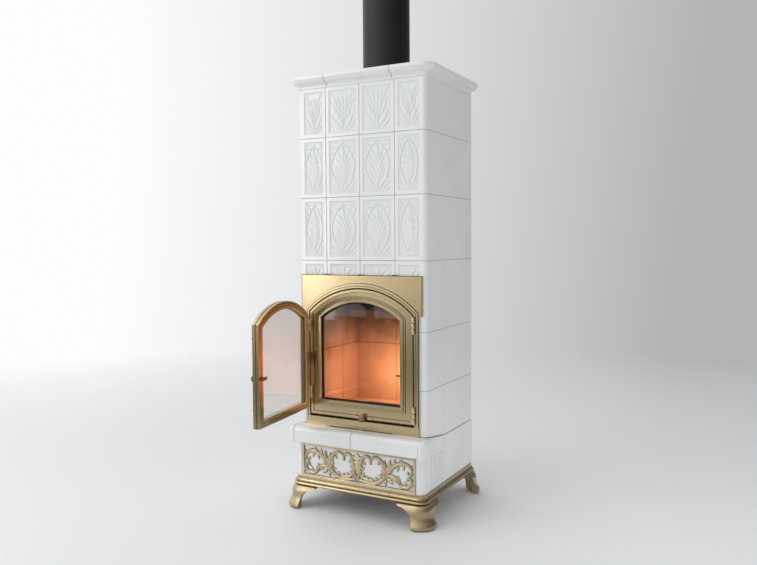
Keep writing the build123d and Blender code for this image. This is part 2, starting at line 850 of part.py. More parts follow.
# ---------------------------------------------------------------- inner construction
core_x = (half_width - tile_thickness - core_thickness, half_width - tile_thickness)
core_back_depth = body_depth - board_thickness - core_thickness
for name, side in (("left", -1), ("right", 1)):
    with BuildPart() as core:
        block((side * core_x[0], side * core_x[1]), (core_face, core_back_depth), (plinth_top, cornice_bottom))
    save(core.part, f"core_{name}")

with BuildPart() as core_back:
    block(
        (-core_x[1], core_x[1]), (core_back_depth, core_back_depth + core_thickness), (plinth_top, cornice_bottom)
    )
save(core_back.part, "core_back")

with BuildPart() as back_panel:
    block((-core_x[1], core_x[1]), (body_depth - board_thickness, body_depth), (plinth_top, cornice_bottom))
save(back_panel.part, "back_panel")

with BuildPart() as core_front:
    block((-core_x[0], core_x[0]), (core_face, core_face + core_thickness), (strip_bottom, cornice_bottom))
save(core_front.part, "core_front")

with BuildPart() as hearth_support:
    block((-core_x[0], core_x[0]), (core_face + 2, core_back_depth), (shelf_top - hearth_deck, shelf_top))
    for side in (-1, 1):
        leg = (side * (core_x[0] - hearth_leg), side * core_x[0])
        block(leg, (core_face + 2, core_back_depth), (plinth_top, shelf_top - hearth_deck))
save(hearth_support.part, "hearth_support")

with BuildPart() as top_slab:
    block(
        (-core_x[1], core_x[1]),
        (tile_thickness, body_depth - tile_thickness),
        (cornice_bottom, cornice_bottom + top_slab_thickness),
    )
    post(0, pipe_setback, (cornice_bottom - 1, cornice_top), pipe_radius + 4, Mode.SUBTRACT)
save(top_slab.part, "top_slab")

# ---------------------------------------------------------------- firebox
casing_z = (casing_bottom, casing_top)
flange_back = casing_front + casing_wall
casing_back = flange_back + casing_depth
with BuildPart() as firebox_casing:
    # front flange with the arched mouth
    with BuildSketch(upright(flange_back)):
        with Locations((0, sum(casing_z) / 2)):
            Rectangle(2 * casing_flange, casing_height)
    extrude(amount=casing_wall)
    block((-casing_half_width, casing_half_width), (flange_back, casing_back), casing_z)
    block(
        (casing_wall - casing_half_width, casing_half_width - casing_wall),
        (flange_back, casing_back - casing_wall),
        (casing_bottom + casing_wall, casing_top - casing_wall),
        Mode.SUBTRACT,
    )
    with BuildSketch(upright(flange_back + 1)):
        add(arched(mouth_half_width, mouth_bottom, mouth_radius))
    extrude(amount=casing_wall + 2, mode=Mode.SUBTRACT)
    # flue spigot on the roof
    spigot_radius = pipe_radius - pipe_wall - pipe_clearance
    post(0, pipe_setback, (casing_top, casing_top + pipe_socket), spigot_radius)
    post(
        0,
        pipe_setback,
        (casing_top - casing_wall - 1, casing_top + pipe_socket + 1),
        spigot_radius - spigot_wall,
        Mode.SUBTRACT,
    )
save(firebox_casing.part, "firebox_casing")

with BuildPart() as flue_pipe:
    post(0, pipe_setback, (casing_top, pipe_top), pipe_radius)
    post(0, pipe_setback, (casing_top - 1, pipe_top + 1), pipe_radius - pipe_wall, Mode.SUBTRACT)
save(flue_pipe.part, "flue_pipe")

lining_half = casing_half_width - casing_wall
lining_face = lining_half - brick_thickness
lining_depth = (flange_back, casing_back - casing_wall)
floor_z = (casing_bottom + casing_wall, hearth_level)
lining_z = (hearth_level, hearth_level + lining_height)
grate_half = grate_width / 2
pit_depth = (casing_front + grate_setback - grate_depth / 2, casing_front + grate_setback + grate_depth / 2)
with BuildPart() as brick_floor:
    block((-lining_half, lining_half), lining_depth, floor_z)
    # pit for the ash pan, with a ledge for the grate
    block((-grate_half, grate_half), pit_depth, (floor_z[0] - 1, floor_z[1] + 1), Mode.SUBTRACT)
    block(
        (-grate_half - grate_ledge, grate_half + grate_ledge),
        (pit_depth[0] - grate_ledge, pit_depth[1] + grate_ledge),
        (floor_z[1] - grate_thickness, floor_z[1] + 1),
        Mode.SUBTRACT,
    )
save(brick_floor.part, "brick_floor")

course_line = lining_z[0] + lining_height * 0.6
groove_depth = sum(lining_depth) / 2
groove = lining_groove / 2
for name, side in (("left", -1), ("right", 1)):
    face_x = side * lining_face
    groove_x = (face_x - side, face_x + side * lining_groove)
    with BuildPart() as brick_side:
        block((face_x, side * lining_half), lining_depth, lining_z)
        # lines between the bricks
        block(groove_x, (groove_depth - groove, groove_depth + groove), lining_z, Mode.SUBTRACT)
        block(groove_x, lining_depth, (course_line - groove, course_line + groove), Mode.SUBTRACT)
    save(brick_side.part, f"brick_{name}")

brick_back_face = lining_depth[1] - brick_thickness
with BuildPart() as brick_back:
    block((-lining_face, lining_face), (brick_back_face, lining_depth[1]), lining_z)
    cut_depth = (brick_back_face - 1, brick_back_face + lining_groove)
    block((-groove, groove), cut_depth, lining_z, Mode.SUBTRACT)
    block((-lining_face, lining_face), cut_depth, (course_line - groove, course_line + groove), Mode.SUBTRACT)
save(brick_back.part, "brick_back")

# the baffle rests on the lining and leaves the smoke a way up at the front
with BuildPart() as baffle:
    block(
        (fit_clearance - lining_half, lining_half - fit_clearance),
        (lining_depth[0] + baffle_setback, lining_depth[1]),
        (lining_z[1], lining_z[1] + baffle_thickness),
    )
save(baffle.part, "baffle")

grate_z = (floor_z[1] - grate_thickness, floor_z[1])
grate_reach = grate_ledge - fit_clearance
slot_pitch = grate_width / grate_slots
with BuildPart() as fire_grate:
    block((-grate_half - grate_reach, grate_half + grate_reach), (pit_depth[0] - grate_reach, pit_depth[1] + grate_reach), grate_z)
    with Locations((0, front_y + sum(pit_depth) / 2, sum(grate_z) / 2)):
        with GridLocations(slot_pitch, 0, grate_slots, 1):
            Box(slot_pitch / 2, grate_depth - 20, grate_thickness + 2, mode=Mode.SUBTRACT)
save(fire_grate.part, "fire_grate")

pan_half = grate_half - 4
pan_z = (floor_z[0], grate_z[0] - 4)
pan_run = (pit_depth[0] + 4, pit_depth[1] - 4)
with BuildPart() as ash_pan:
    block((-pan_half, pan_half), pan_run, pan_z)
    block(
        (pan_wall - pan_half, pan_half - pan_wall),
        (pan_run[0] + pan_wall, pan_run[1] - pan_wall),
        (pan_z[0] + pan_wall, pan_z[1] + 1),
        Mode.SUBTRACT,
    )
save(ash_pan.part, "ash_pan")


# ---------------------------------------------------------------- hinges
def hinge_spans(height, length):
    """Heights of a hinge's two outer knuckles, and of the one between them."""
    outer = length / 2
    inner = length / 6
    between = (height - inner + knuckle_gap, height + inner - knuckle_gap)
    return ((height - outer, height - inner), (height + inner, height + outer)), between


def bore(x, depth, z):
    """Pin hole through a knuckle."""
    post(x, depth, (z[0] - 1, z[1] + 1), pin_radius + pin_clearance, Mode.SUBTRACT)


def hinge_pin(x, depth, height, length):
    """Pin with a button head that rests on the top knuckle."""
    top = height + length / 2
    post(x, depth, (height - length / 2, top + 4), pin_radius)
    post(x, depth, (top, top + 4), hinge_radius - 0.5)


# ---------------------------------------------------------------- door surround
opening = arched(opening_half_width, opening_bottom, opening_radius)
surround_face = -surround_plate
door_axis_depth = -door_axis_advance
leaf_axis_depth = -leaf_axis_advance
sill_half = 165
sill_foot = 10
with BuildPart() as door_surround:
    with BuildSketch(upright(0)):
        with Locations((0, (header_bottom + surround_top) / 2)):
            Rectangle(2 * header_half_width, surround_top - header_bottom)
        with Locations((0, (shelf_top + header_bottom) / 2)):
            Rectangle(2 * jamb_half_width, header_bottom - shelf_top)
        add(opening, mode=Mode.SUBTRACT)
    extrude(amount=surround_plate)
    # throat that reaches back to the firebox
    with BuildSketch(upright(throat_depth)):
        add(
            arched(
                opening_half_width + throat_wall, opening_bottom - throat_wall, opening_radius + throat_wall
            )
        )
        add(opening, mode=Mode.SUBTRACT)
    extrude(amount=throat_depth)
    # double bead round the opening
    for inner, outer, rise in ((1, 8, bead_height - 1), (10, bead_width, bead_height)):
        with BuildSketch(upright(surround_face)):
            add(arched(opening_half_width + outer, opening_bottom, opening_radius + outer))
            add(
                arched(opening_half_width + inner, opening_bottom - 1, opening_radius + inner),
                mode=Mode.SUBTRACT,
            )
        extrude(amount=rise)
    # air slot under the sill, on small feet
    block((-sill_half, sill_half), (surround_face - 1, 1), (shelf_top - 1, shelf_top + sill_gap), Mode.SUBTRACT)
    for foot_x in (sill_foot - sill_half, 0, sill_half - sill_foot):
        foot_span = (foot_x - sill_foot / 2, foot_x + sill_foot / 2)
        block(foot_span, (surround_face, 0), (shelf_top, shelf_top + sill_gap + 1))
    # outer knuckles of the door hinges
    for height in door_hinge_heights:
        outer_spans, middle_span = hinge_spans(height, door_hinge_length)
        for span in outer_spans:
            post(door_axis_x, door_axis_depth, span, hinge_radius)
            block((door_axis_x, door_axis_x + hinge_radius), (door_axis_depth, surround_face + 1), span)
            bore(door_axis_x, door_axis_depth, span)
save(door_surround.part, "door_surround")

with BuildPart() as door_hinge_pins:
    for height in door_hinge_heights:
        hinge_pin(door_axis_x, door_axis_depth, height, door_hinge_length)
save(door_hinge_pins.part, "door_hinge_pins")

# ---------------------------------------------------------------- door
door_back = door_skin - door_face
rim_back = throat_depth - gasket_thickness
band_face = -door_face - band_height
moulding_face = -door_face - moulding_height
door_outline = arched(door_half_width, door_bottom, door_radius)
door_window = arched(glass_half_width, glass_bottom, glass_radius)
rim_outside = arched(door_half_width - door_rim_set, door_bottom + door_rim_set, door_radius - door_rim_set)
rim_inset = door_rim_set + door_rim
rim_inside = arched(door_half_width - rim_inset, door_bottom + rim_inset, door_radius - rim_inset)
keeper_x = leaf_axis_x + leaf_width - leaf_stile / 2
with BuildPart() as door_frame:
    with BuildSketch(upright(door_back)):
        add(door_outline)
        add(door_window, mode=Mode.SUBTRACT)
    extrude(amount=door_skin)
    # raised band along the edge, and the stepped moulding round the glass
    with BuildSketch(upright(-door_face)):
        add(door_outline)
        add(
            arched(door_half_width - edge_band, door_bottom + edge_band, door_radius - edge_band),
            mode=Mode.SUBTRACT,
        )
    extrude(amount=band_height)
    for width, rise in ((moulding_width, moulding_height / 2), (moulding_width - 7, moulding_height)):
        with BuildSketch(upright(-door_face)):
            add(arched(glass_half_width + width, glass_bottom - width, glass_radius + width))
            add(door_window, mode=Mode.SUBTRACT)
        extrude(amount=rise)
    # rim that carries the gasket
    with BuildSketch(upright(rim_back)):
        add(rim_outside)
        add(rim_inside, mode=Mode.SUBTRACT)
    extrude(amount=rim_back - door_back)
    # middle knuckles of the door hinges
    for height in door_hinge_heights:
        outer_spans, middle_span = hinge_spans(height, door_hinge_length)
        post(door_axis_x, door_axis_depth, middle_span, hinge_radius)
        block((door_half_width - 8, door_axis_x), (door_axis_depth, door_axis_depth + 4), middle_span)
        block((door_half_width - 8, door_half_width - 1), (door_axis_depth, -door_face), middle_span)
        bore(door_axis_x, door_axis_depth, middle_span)
    # outer knuckles of the leaf hinges
    for height in leaf_hinge_heights:
        outer_spans, middle_span = hinge_spans(height, leaf_hinge_length)
        for span in outer_spans:
            post(leaf_axis_x, leaf_axis_depth, span, hinge_radius)
            block((leaf_axis_x - 4, leaf_axis_x + 4), (leaf_axis_depth, -door_face), span)
            bore(leaf_axis_x, leaf_axis_depth, span)
    # hole for the lever's spindle, and the notch in the rim where its cam turns
    with BuildSketch(upright(-door_face - 5)):
        with Locations((lever_x, lever_height)):
            Circle(spindle_radius + fit_clearance / 5)
    extrude(amount=-(door_skin + 6), mode=Mode.SUBTRACT)
    block(
        (-door_half_width, fit_clearance - door_half_width + rim_inset),
        (door_back, cam_depth + cam_thickness + 1),
        (lever_height - cam_width / 2 - 2, lever_height + cam_reach + 2),
        Mode.SUBTRACT,
    )
    # air slot above the rim, which the slide covers
    slot_right = slide_x + slide_length / 2 - 4
    slot_top = slide_low + slide_height - 1
    block(
        (slot_right - air_slot_width, slot_right),
        (band_face - 1, door_back + 1),
        (slot_top - air_slot_height, slot_top),
        Mode.SUBTRACT,
    )
    # keeper for the leaf's latch: a post on the moulding and a lip
    keeper_low = leaf_latch_height - tongue_length + 2
    keeper_z = (keeper_low, keeper_low + keeper_height)
    keeper_face = leaf_axis_depth - leaf_back + keeper_gap
    block((keeper_x + 9, keeper_x + 14), (keeper_face, moulding_face), keeper_z)
    block((keeper_x - 6, keeper_x + 14), (keeper_face, keeper_face + keeper_lip), keeper_z)
    # guides for the air slide
    for side in (-1, 1):
        guide_x = side * slide_guide_x
        guide = (guide_x - slide_guide_width / 2, guide_x + slide_guide_width / 2)
        slide_top = slide_low + slide_height
        block(guide, (slide_face - slide_play - 2, -door_face), (slide_top + slide_play, slide_top + 3))
        block(guide, (slide_face - slide_play - 2, slide_face - slide_play), (slide_top - 4, slide_top + 3))
save(door_frame.part, "door_frame")

with BuildPart() as door_glass:
    with BuildSketch(upright(door_back + glass_thickness)):
        add(arched(glass_half_width + glass_rebate, glass_bottom - glass_rebate, glass_radius + glass_rebate))
    extrude(amount=glass_thickness)
save(door_glass.part, "door_glass")

with BuildPart() as door_glass_clips:
    clip_back = door_back + glass_thickness + clip_thickness
    clip_inner = glass_half_width + 3
    clip_foot = glass_half_width + glass_rebate + fit_clearance
    for side in (-1, 1):
        for height in clip_heights:
            clip_z = (height - clip_length / 2, height + clip_length / 2)
            outer_x = side * (clip_foot + 8)
            block((side * clip_foot, outer_x), (door_back, clip_back), clip_z)
            block((side * clip_inner, outer_x), (door_back + glass_thickness, clip_back), clip_z)
save(door_glass_clips.part, "door_glass_clips")

with BuildPart() as door_gasket:
    with BuildSketch(upright(throat_depth)):
        add(rim_outside)
        add(rim_inside, mode=Mode.SUBTRACT)
    extrude(amount=gasket_thickness)
save(door_gasket.part, "door_gasket")

# lever: a boss, a tapering arm with a loop, and a cam on the inner end of the spindle
lever_back = band_face - 0.3
with BuildSketch() as lever_outline:
    with Locations((lever_x, lever_height)):
        Circle(lever_boss)
    with BuildLine():
        Polyline(
            (lever_x - 4.5, lever_height),
            (lever_x - lever_width / 2, lever_height - lever_length + lever_width),
            (lever_x + lever_width / 2, lever_height - lever_length + lever_width),
            (lever_x + 4.5, lever_height),
            (lever_x - 4.5, lever_height),
        )
    make_face()
    with Locations((lever_x, lever_height - lever_length + lever_width / 2)):
        Circle(lever_width / 2)
        Rectangle(lever_width, lever_width, align=(Align.CENTER, Align.MIN))
    with Locations((lever_x, lever_height - lever_length + lever_width / 2 + lever_length * lever_loop / 2 + 6)):
        SlotCenterToCenter(lever_length * lever_loop, 4, rotation=90, mode=Mode.SUBTRACT)
with BuildPart() as door_lever:
    with BuildSketch(upright(lever_face + lever_thickness)):
        add(lever_outline.sketch)
    extrude(amount=lever_thickness)
    with BuildSketch(upright(lever_back)):
        with Locations((lever_x, lever_height)):
            Circle(lever_boss)
    extrude(amount=lever_back - lever_face)
    with BuildSketch(upright(cam_depth + cam_thickness)):
        with Locations((lever_x, lever_height)):
            Circle(spindle_radius)
    extrude(amount=cam_depth + cam_thickness - lever_face)
    block(
        (lever_x - cam_reach, lever_x),
        (cam_depth, cam_depth + cam_thickness),
        (lever_height - cam_width / 2, lever_height + cam_width / 2),
    )
save(door_lever.part, "door_lever")

# air slide: a shutter on the door's lower edge, with a round knob
with BuildPart() as air_slide:
    block(
        (slide_x - slide_length / 2, slide_x + slide_length / 2),
        (slide_face, slide_face + slide_bar),
        (slide_low, slide_low + slide_height),
    )
    for advance, length, radius in ((0, 5, 4), (5, 7, knob_radius)):
        with BuildSketch(upright(slide_face - advance)):
            with Locations((slide_x, knob_height)):
                Circle(radius)
        extrude(amount=length)
save(air_slide.part, "air_slide")

# ---------------------------------------------------------------- glass leaf
leaf_middle = (leaf_edge_gap + leaf_width) / 2
leaf_half_width = (leaf_width - leaf_edge_gap) / 2
leaf_rise = leaf_peak - leaf_spring
leaf_radius = (leaf_half_width**2 + leaf_rise**2) / (2 * leaf_rise)
leaf_face = leaf_back + leaf_thickness


def leaf_outline(inset):
    """Outline of the leaf, drawn in by an even margin."""
    centre = leaf_peak - leaf_radius
    return arched(leaf_half_width - inset, leaf_bottom + inset, leaf_radius - inset, leaf_middle, centre)


with BuildPart() as leaf_frame:
    with BuildSketch(leaf_plane(leaf_back)):
        add(leaf_outline(0))
        add(leaf_outline(leaf_stile), mode=Mode.SUBTRACT)
    extrude(amount=leaf_thickness - leaf_strip_height)
    # rebate for the glass, from the back
    with BuildSketch(leaf_plane(leaf_back)):
        add(leaf_outline(leaf_stile - leaf_rebate))
    extrude(amount=leaf_rebate_depth, mode=Mode.SUBTRACT)
    # lines along the back
    for outer, inner in leaf_grooves:
        with BuildSketch(leaf_plane(leaf_back)):
            add(leaf_outline(outer))
            add(leaf_outline(inner), mode=Mode.SUBTRACT)
        extrude(amount=leaf_groove_depth, mode=Mode.SUBTRACT)
    # raised strips along the face
    for outer, inner, rise in leaf_strips:
        with BuildSketch(leaf_plane(leaf_face - leaf_strip_height)):
            add(leaf_outline(outer))
            add(leaf_outline(inner), mode=Mode.SUBTRACT)
        extrude(amount=rise)
    # middle knuckles of the hinges, each on a strap
    for height in leaf_hinge_heights:
        outer_spans, middle_span = hinge_spans(height, leaf_hinge_length)
        post(leaf_axis_x, leaf_axis_depth, middle_span, hinge_radius)
        with BuildSketch(leaf_plane(leaf_back)):
            with Locations(((leaf_edge_gap + 2) / 2, height)):
                Rectangle(leaf_edge_gap + 2, middle_span[1] - middle_span[0])
        extrude(amount=strap_thickness)
        bore(leaf_axis_x, leaf_axis_depth, middle_span)
    # ball studs near the free edge
    for height in stud_heights:
        with BuildSketch(leaf_plane(leaf_face - leaf_strip_height)):
            with Locations((leaf_width - leaf_stile / 2, height)):
                Circle(stud_radius * 0.6)
        extrude(amount=leaf_strip_height + stud_neck)
        with BuildSketch(leaf_plane(leaf_face + stud_neck)):
            with Locations((leaf_width - leaf_stile / 2, height)):
                Circle(stud_radius)
        extrude(amount=stud_radius)
    # hole for the latch's spindle
    with BuildSketch(leaf_plane(leaf_back - 1)):
        with Locations((leaf_width - leaf_stile / 2, leaf_latch_height)):
            Circle(latch_spindle + fit_clearance / 5)
    extrude(amount=leaf_thickness + 2, mode=Mode.SUBTRACT)
save(leaf_frame.part, "leaf_frame")

with BuildPart() as leaf_glass:
    with BuildSketch(leaf_plane(leaf_back + leaf_rebate_depth - glass_thickness)):
        add(leaf_outline(leaf_stile - leaf_rebate + fit_clearance))
    extrude(amount=glass_thickness)
save(leaf_glass.part, "leaf_glass")

with BuildPart() as leaf_glass_bead:
    with BuildSketch(leaf_plane(leaf_back)):
        add(leaf_outline(leaf_stile - leaf_rebate))
        add(leaf_outline(leaf_stile), mode=Mode.SUBTRACT)
    extrude(amount=leaf_rebate_depth - glass_thickness)
save(leaf_glass_bead.part, "leaf_glass_bead")

with BuildPart() as leaf_hinge_pins:
    for height in leaf_hinge_heights:
        hinge_pin(leaf_axis_x, leaf_axis_depth, height, leaf_hinge_length)
save(leaf_hinge_pins.part, "leaf_hinge_pins")

tongue_face = leaf_back - keeper_gap - keeper_lip - keeper_gap
latch_place = (leaf_width - leaf_stile / 2, leaf_latch_height)
with BuildPart() as leaf_latch:
    with BuildSketch(leaf_plane(tongue_face - tongue_thickness)):
        with Locations(latch_place):
            Circle(latch_spindle)
    extrude(amount=leaf_face - tongue_face + tongue_thickness + 3)
    with BuildSketch(leaf_plane(tongue_face - tongue_thickness)):
        with Locations(latch_place):
            Circle(tongue_width / 2)
        with Locations((latch_place[0] - tongue_length / 2, latch_place[1])):
            Rectangle(tongue_length, tongue_width)
    extrude(amount=tongue_thickness)
    for advance, length, radius in ((0.3, 3, 5), (3, 7, latch_knob)):
        with BuildSketch(leaf_plane(leaf_face + advance)):
            with Locations(latch_place):
                Circle(radius)
        extrude(amount=length)
save(leaf_latch.part, "leaf_latch")
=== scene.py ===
"""Tiled wood stove: glazed relief tiles, satin brass castings and an arched fire door round the CAD frame."""
import json
import math

import bmesh
import bpy
import numpy as np
from mathutils import Matrix, Vector

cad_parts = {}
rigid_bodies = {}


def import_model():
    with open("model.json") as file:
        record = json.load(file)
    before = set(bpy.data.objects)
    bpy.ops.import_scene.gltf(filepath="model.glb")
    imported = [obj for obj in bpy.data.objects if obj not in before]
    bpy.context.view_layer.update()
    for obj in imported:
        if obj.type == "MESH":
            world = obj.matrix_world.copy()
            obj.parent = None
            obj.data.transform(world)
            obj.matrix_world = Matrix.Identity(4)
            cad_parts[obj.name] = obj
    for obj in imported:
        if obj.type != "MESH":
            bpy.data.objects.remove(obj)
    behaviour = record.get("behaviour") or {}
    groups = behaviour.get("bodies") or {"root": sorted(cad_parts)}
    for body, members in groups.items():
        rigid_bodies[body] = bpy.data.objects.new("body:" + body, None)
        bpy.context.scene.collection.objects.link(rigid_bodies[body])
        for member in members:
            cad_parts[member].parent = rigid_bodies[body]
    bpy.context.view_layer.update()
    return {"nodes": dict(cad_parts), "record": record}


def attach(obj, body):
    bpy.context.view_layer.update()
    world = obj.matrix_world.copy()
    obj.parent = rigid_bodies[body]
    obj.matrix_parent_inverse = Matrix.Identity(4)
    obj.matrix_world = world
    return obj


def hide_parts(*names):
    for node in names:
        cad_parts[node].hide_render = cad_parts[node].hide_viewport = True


for stray in list(bpy.data.objects):
    bpy.data.objects.remove(stray)
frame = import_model()
nodes = frame["nodes"]
MM = 0.001

# -------------------- places, in mm, as the CAD has them
leaf_angle = math.radians(83)  # how far the leaf stands open
leaf_hinge_x, leaf_hinge_depth = -232, 17  # its hinge axis: across, and ahead of the tile face
leaf_near, leaf_far = 16, 424  # its edges, from that axis
leaf_bottom, leaf_spring, leaf_peak = 428, 818, 890
leaf_face = 29  # its outer face, from that axis
leaf_reach = leaf_hinge_depth + leaf_far * math.sin(leaf_angle) + leaf_face * math.cos(leaf_angle)
back_reach = 519  # hindmost edge, behind the tile face
front_y = (leaf_reach - back_reach) / 2  # tile face; depth is measured back from it
half_width = 295
body_depth = 475
corner_radius = 16
tile_top = 1755
course_heights = [205, 247, 259, 280, 232, 182]
course_tops = [tile_top - sum(course_heights[:row]) for row in range(6)]
tile_joint = 2
tile_pitch = 159
tile_rim = 15
panel_sink = 3.5
corner_return = 168
surround_top = 986
side_bottom = 330  # lower end of the upright joints in the sides
shelf_top = 350
shelf_bottom = 282
base_half = 298
base_advance, base_radius = 43, 28  # the base's front ahead of the tile face, its corners
plinth_top = 132
strip_start = 38  # front edge of the relief strip in the base's side
grille_top = 278
grille_half = 267
grille_back = -37  # depth of the grille's back face
cove_width = 5.5  # hollow round each relief panel
arch_centre = 588  # height of the arches' centre, on surround and door
sill_half, sill_gap = 165, 3.5  # air slot under the surround
header_edge, header_low, header_high = 279.7, 829, 984.7
header_lift, sill_lift = 8.0, 6.5  # of their dark lines, ahead of the tile face
leaf_line_width = 3.2
slide_knob = (13, 402, 13)  # across, height and place ahead of the tile face
leaf_stile = 409  # middle of the leaf's free stile, from its hinge axis
latch_height, stud_heights = 614, (496, 766)
hinge_x, hinge_advance = 246, 18  # the door's hinge axis: across, and ahead of the tile face
hinge_heights, knuckle, knuckle_gap = (434, 791), 22, 0.1


# -------------------- nodes
def add_node(tree, kind, inputs=None, **settings):
    """New shader node; each input, by name or number, is linked to a socket or set to a value."""
    made = tree.nodes.new("ShaderNode" + kind)
    for label, value in settings.items():
        setattr(made, label, value)
    for label, value in (inputs or {}).items():
        if isinstance(value, bpy.types.NodeSocket):
            tree.links.new(value, made.inputs[label])
        else:
            made.inputs[label].default_value = value
    return made


def group(name, inputs, outputs):
    """Empty shader group with named sockets; returns the tree and its two ends."""
    tree = bpy.data.node_groups.new(name, "ShaderNodeTree")
    for way, sockets in (("INPUT", inputs), ("OUTPUT", outputs)):
        for label, kind in sockets.items():
            tree.interface.new_socket(name=label, in_out=way, socket_type="NodeSocket" + kind)
    return tree, tree.nodes.new("NodeGroupInput"), tree.nodes.new("NodeGroupOutput")


def noise(tree, scale, detail, roughness):
    """Noise on Object coordinates, in cycles per metre; returns its value socket."""
    place = add_node(tree, "TexCoord")
    inputs = {"Vector": place.outputs["Object"], "Scale": scale, "Detail": detail, "Roughness": roughness}
    return add_node(tree, "TexNoise", inputs).outputs["Fac"]


def remap(tree, value, low, high, to_low, to_high):
    """Linear change of range, clamped."""
    inputs = {"Value": value, "From Min": low, "From Max": high, "To Min": to_low, "To Max": to_high}
    return add_node(tree, "MapRange", inputs).outputs["Result"]


def blend_colours(tree, share, first, second):
    """Mix of two colours, each a socket or a tuple, by a value."""
    ends = [end if isinstance(end, bpy.types.NodeSocket) else (*end, 1) for end in (first, second)]
    return add_node(tree, "Mix", {"Factor": share, 6: ends[0], 7: ends[1]}, data_type="RGBA").outputs[2]


def bump(tree, height, strength, distance, **normal):
    """Normal from a height value, over another Normal if one is given."""
    inputs = {"Height": height, "Strength": strength, "Distance": distance, **normal}
    return add_node(tree, "Bump", inputs).outputs["Normal"]


def make_mottle():
    """Soft patches between two colours, a finer speckle over them, and a mask to share with roughness."""
    tree, start, end = group(
        "mottle",
        {
            "Light": "Color", "Dark": "Color",
            "Patch Scale": "Float", "Speckle Scale": "Float", "Speckle": "Float",
        },
        {"Color": "Color", "Mask": "Float"},
    )
    given = start.outputs
    patch = remap(tree, noise(tree, given["Patch Scale"], 3, 0.5), 0.3, 0.7, 0, 1)
    speckle = remap(tree, noise(tree, given["Speckle Scale"], 2, 0.6), 0.35, 0.7, 0, 1)
    mask = add_node(tree, "Mix", {"Factor": given["Speckle"], 2: patch, 3: speckle}).outputs[0]
    tree.links.new(blend_colours(tree, mask, given["Light"], given["Dark"]), end.inputs["Color"])
    tree.links.new(mask, end.inputs["Mask"])
    return tree


def make_grain():
    """Fine surface grain over slow unevenness, as a normal."""
    tree, start, end = group(
        "surface_grain",
        {"Fine Scale": "Float", "Fine": "Float", "Slow Scale": "Float", "Slow": "Float"},
        {"Normal": "Vector"},
    )
    given = start.outputs
    slow = bump(tree, noise(tree, given["Slow Scale"], 1, 0.5), given["Slow"], 0.004)
    fine = bump(tree, noise(tree, given["Fine Scale"], 3, 0.6), given["Fine"], 0.0004, Normal=slow)
    tree.links.new(fine, end.inputs["Normal"])
    return tree


mottle_group = make_mottle()
grain_group = make_grain()


# -------------------- materials
def principled(made):
    """The material's Principled BSDF."""
    return made.node_tree.nodes["Principled BSDF"]


def material(name, values):
    """Named material whose Principled BSDF has these inputs."""
    made = bpy.data.materials.new(name)
    made.use_nodes = True
    for label, value in values.items():
        principled(made).inputs[label].default_value = value
    return made


def grain(made, fine_scale, fine, slow_scale, slow):
    """Gives the material its grain: scale and strength, fine and slow."""
    tree = made.node_tree
    inputs = {"Fine Scale": fine_scale, "Fine": fine, "Slow Scale": slow_scale, "Slow": slow}
    texture = add_node(tree, "Group", inputs, node_tree=grain_group)
    tree.links.new(texture.outputs["Normal"], principled(made).inputs["Normal"])


def finish(name, light, dark, roughness, rough_spread, metallic, patch, speckle_scale, speckle, *grains):
    """Solid material: mottled colour, roughness that follows the mottling, and grain."""
    made = material(name, {"Roughness": roughness, "Metallic": metallic})
    tree, target = made.node_tree, principled(made).inputs
    inputs = {
        "Light": (*light, 1), "Dark": (*dark, 1),
        "Patch Scale": patch, "Speckle Scale": speckle_scale, "Speckle": speckle,
    }
    spots = add_node(tree, "Group", inputs, node_tree=mottle_group)
    tree.links.new(spots.outputs["Color"], target["Base Color"])
    rough = remap(tree, spots.outputs["Mask"], 0, 1, roughness, roughness + rough_spread)
    tree.links.new(rough, target["Roughness"])
    grain(made, *grains)
    return made


def tint(made, share, colour):
    """Mixes a colour over the material's own."""
    target = principled(made).inputs["Base Color"]
    mixed = blend_colours(made.node_tree, share, target.links[0].from_socket, colour)
    made.node_tree.links.new(mixed, target)


def lacquer(made, weight, roughness=0.2, ior=1.7):
    """Clear coat, for its pale highlights."""
    for label, value in (("Coat Weight", weight), ("Coat Roughness", roughness), ("Coat IOR", ior)):
        principled(made).inputs[label].default_value = value


def shade_recess(made, dark, low, high, rough):
    """Darkens and roughens what lies low in the relief, by the piece's own heights."""
    tree, target = made.node_tree, principled(made).inputs["Roughness"]
    height = add_node(tree, "Attribute", attribute_name="relief")
    share = remap(tree, height.outputs["Fac"], low, high, 1, 0)
    tint(made, share, dark)
    worn = add_node(tree, "Mix", {"Factor": share, 2: target.links[0].from_socket, 3: rough})
    tree.links.new(worn.outputs[0], target)


def height_above_floor(tree):
    """Height of each place on the object, in metres."""
    place = add_node(tree, "TexCoord")
    return add_node(tree, "SeparateXYZ", {"Vector": place.outputs["Object"]}).outputs["Z"]


def paint_highlight_below(made, bright, low, high):
    """Painted highlight: a brighter colour below a height, in metres, where the lever's loop catches the light.
    """
    tint(made, remap(made.node_tree, height_above_floor(made.node_tree), low, high, 1, 0), bright)


def darken_upward(made, dark, low, high):
    """Darker from one height to another, in metres, with an uneven edge."""
    tree = made.node_tree
    drift = remap(tree, noise(tree, 7, 3, 0.55), 0.2, 0.8, -0.09, 0.09)
    height = add_node(tree, "Math", {0: height_above_floor(tree), 1: drift})
    tint(made, remap(tree, height.outputs["Value"], low, high, 0, 0.9), dark)


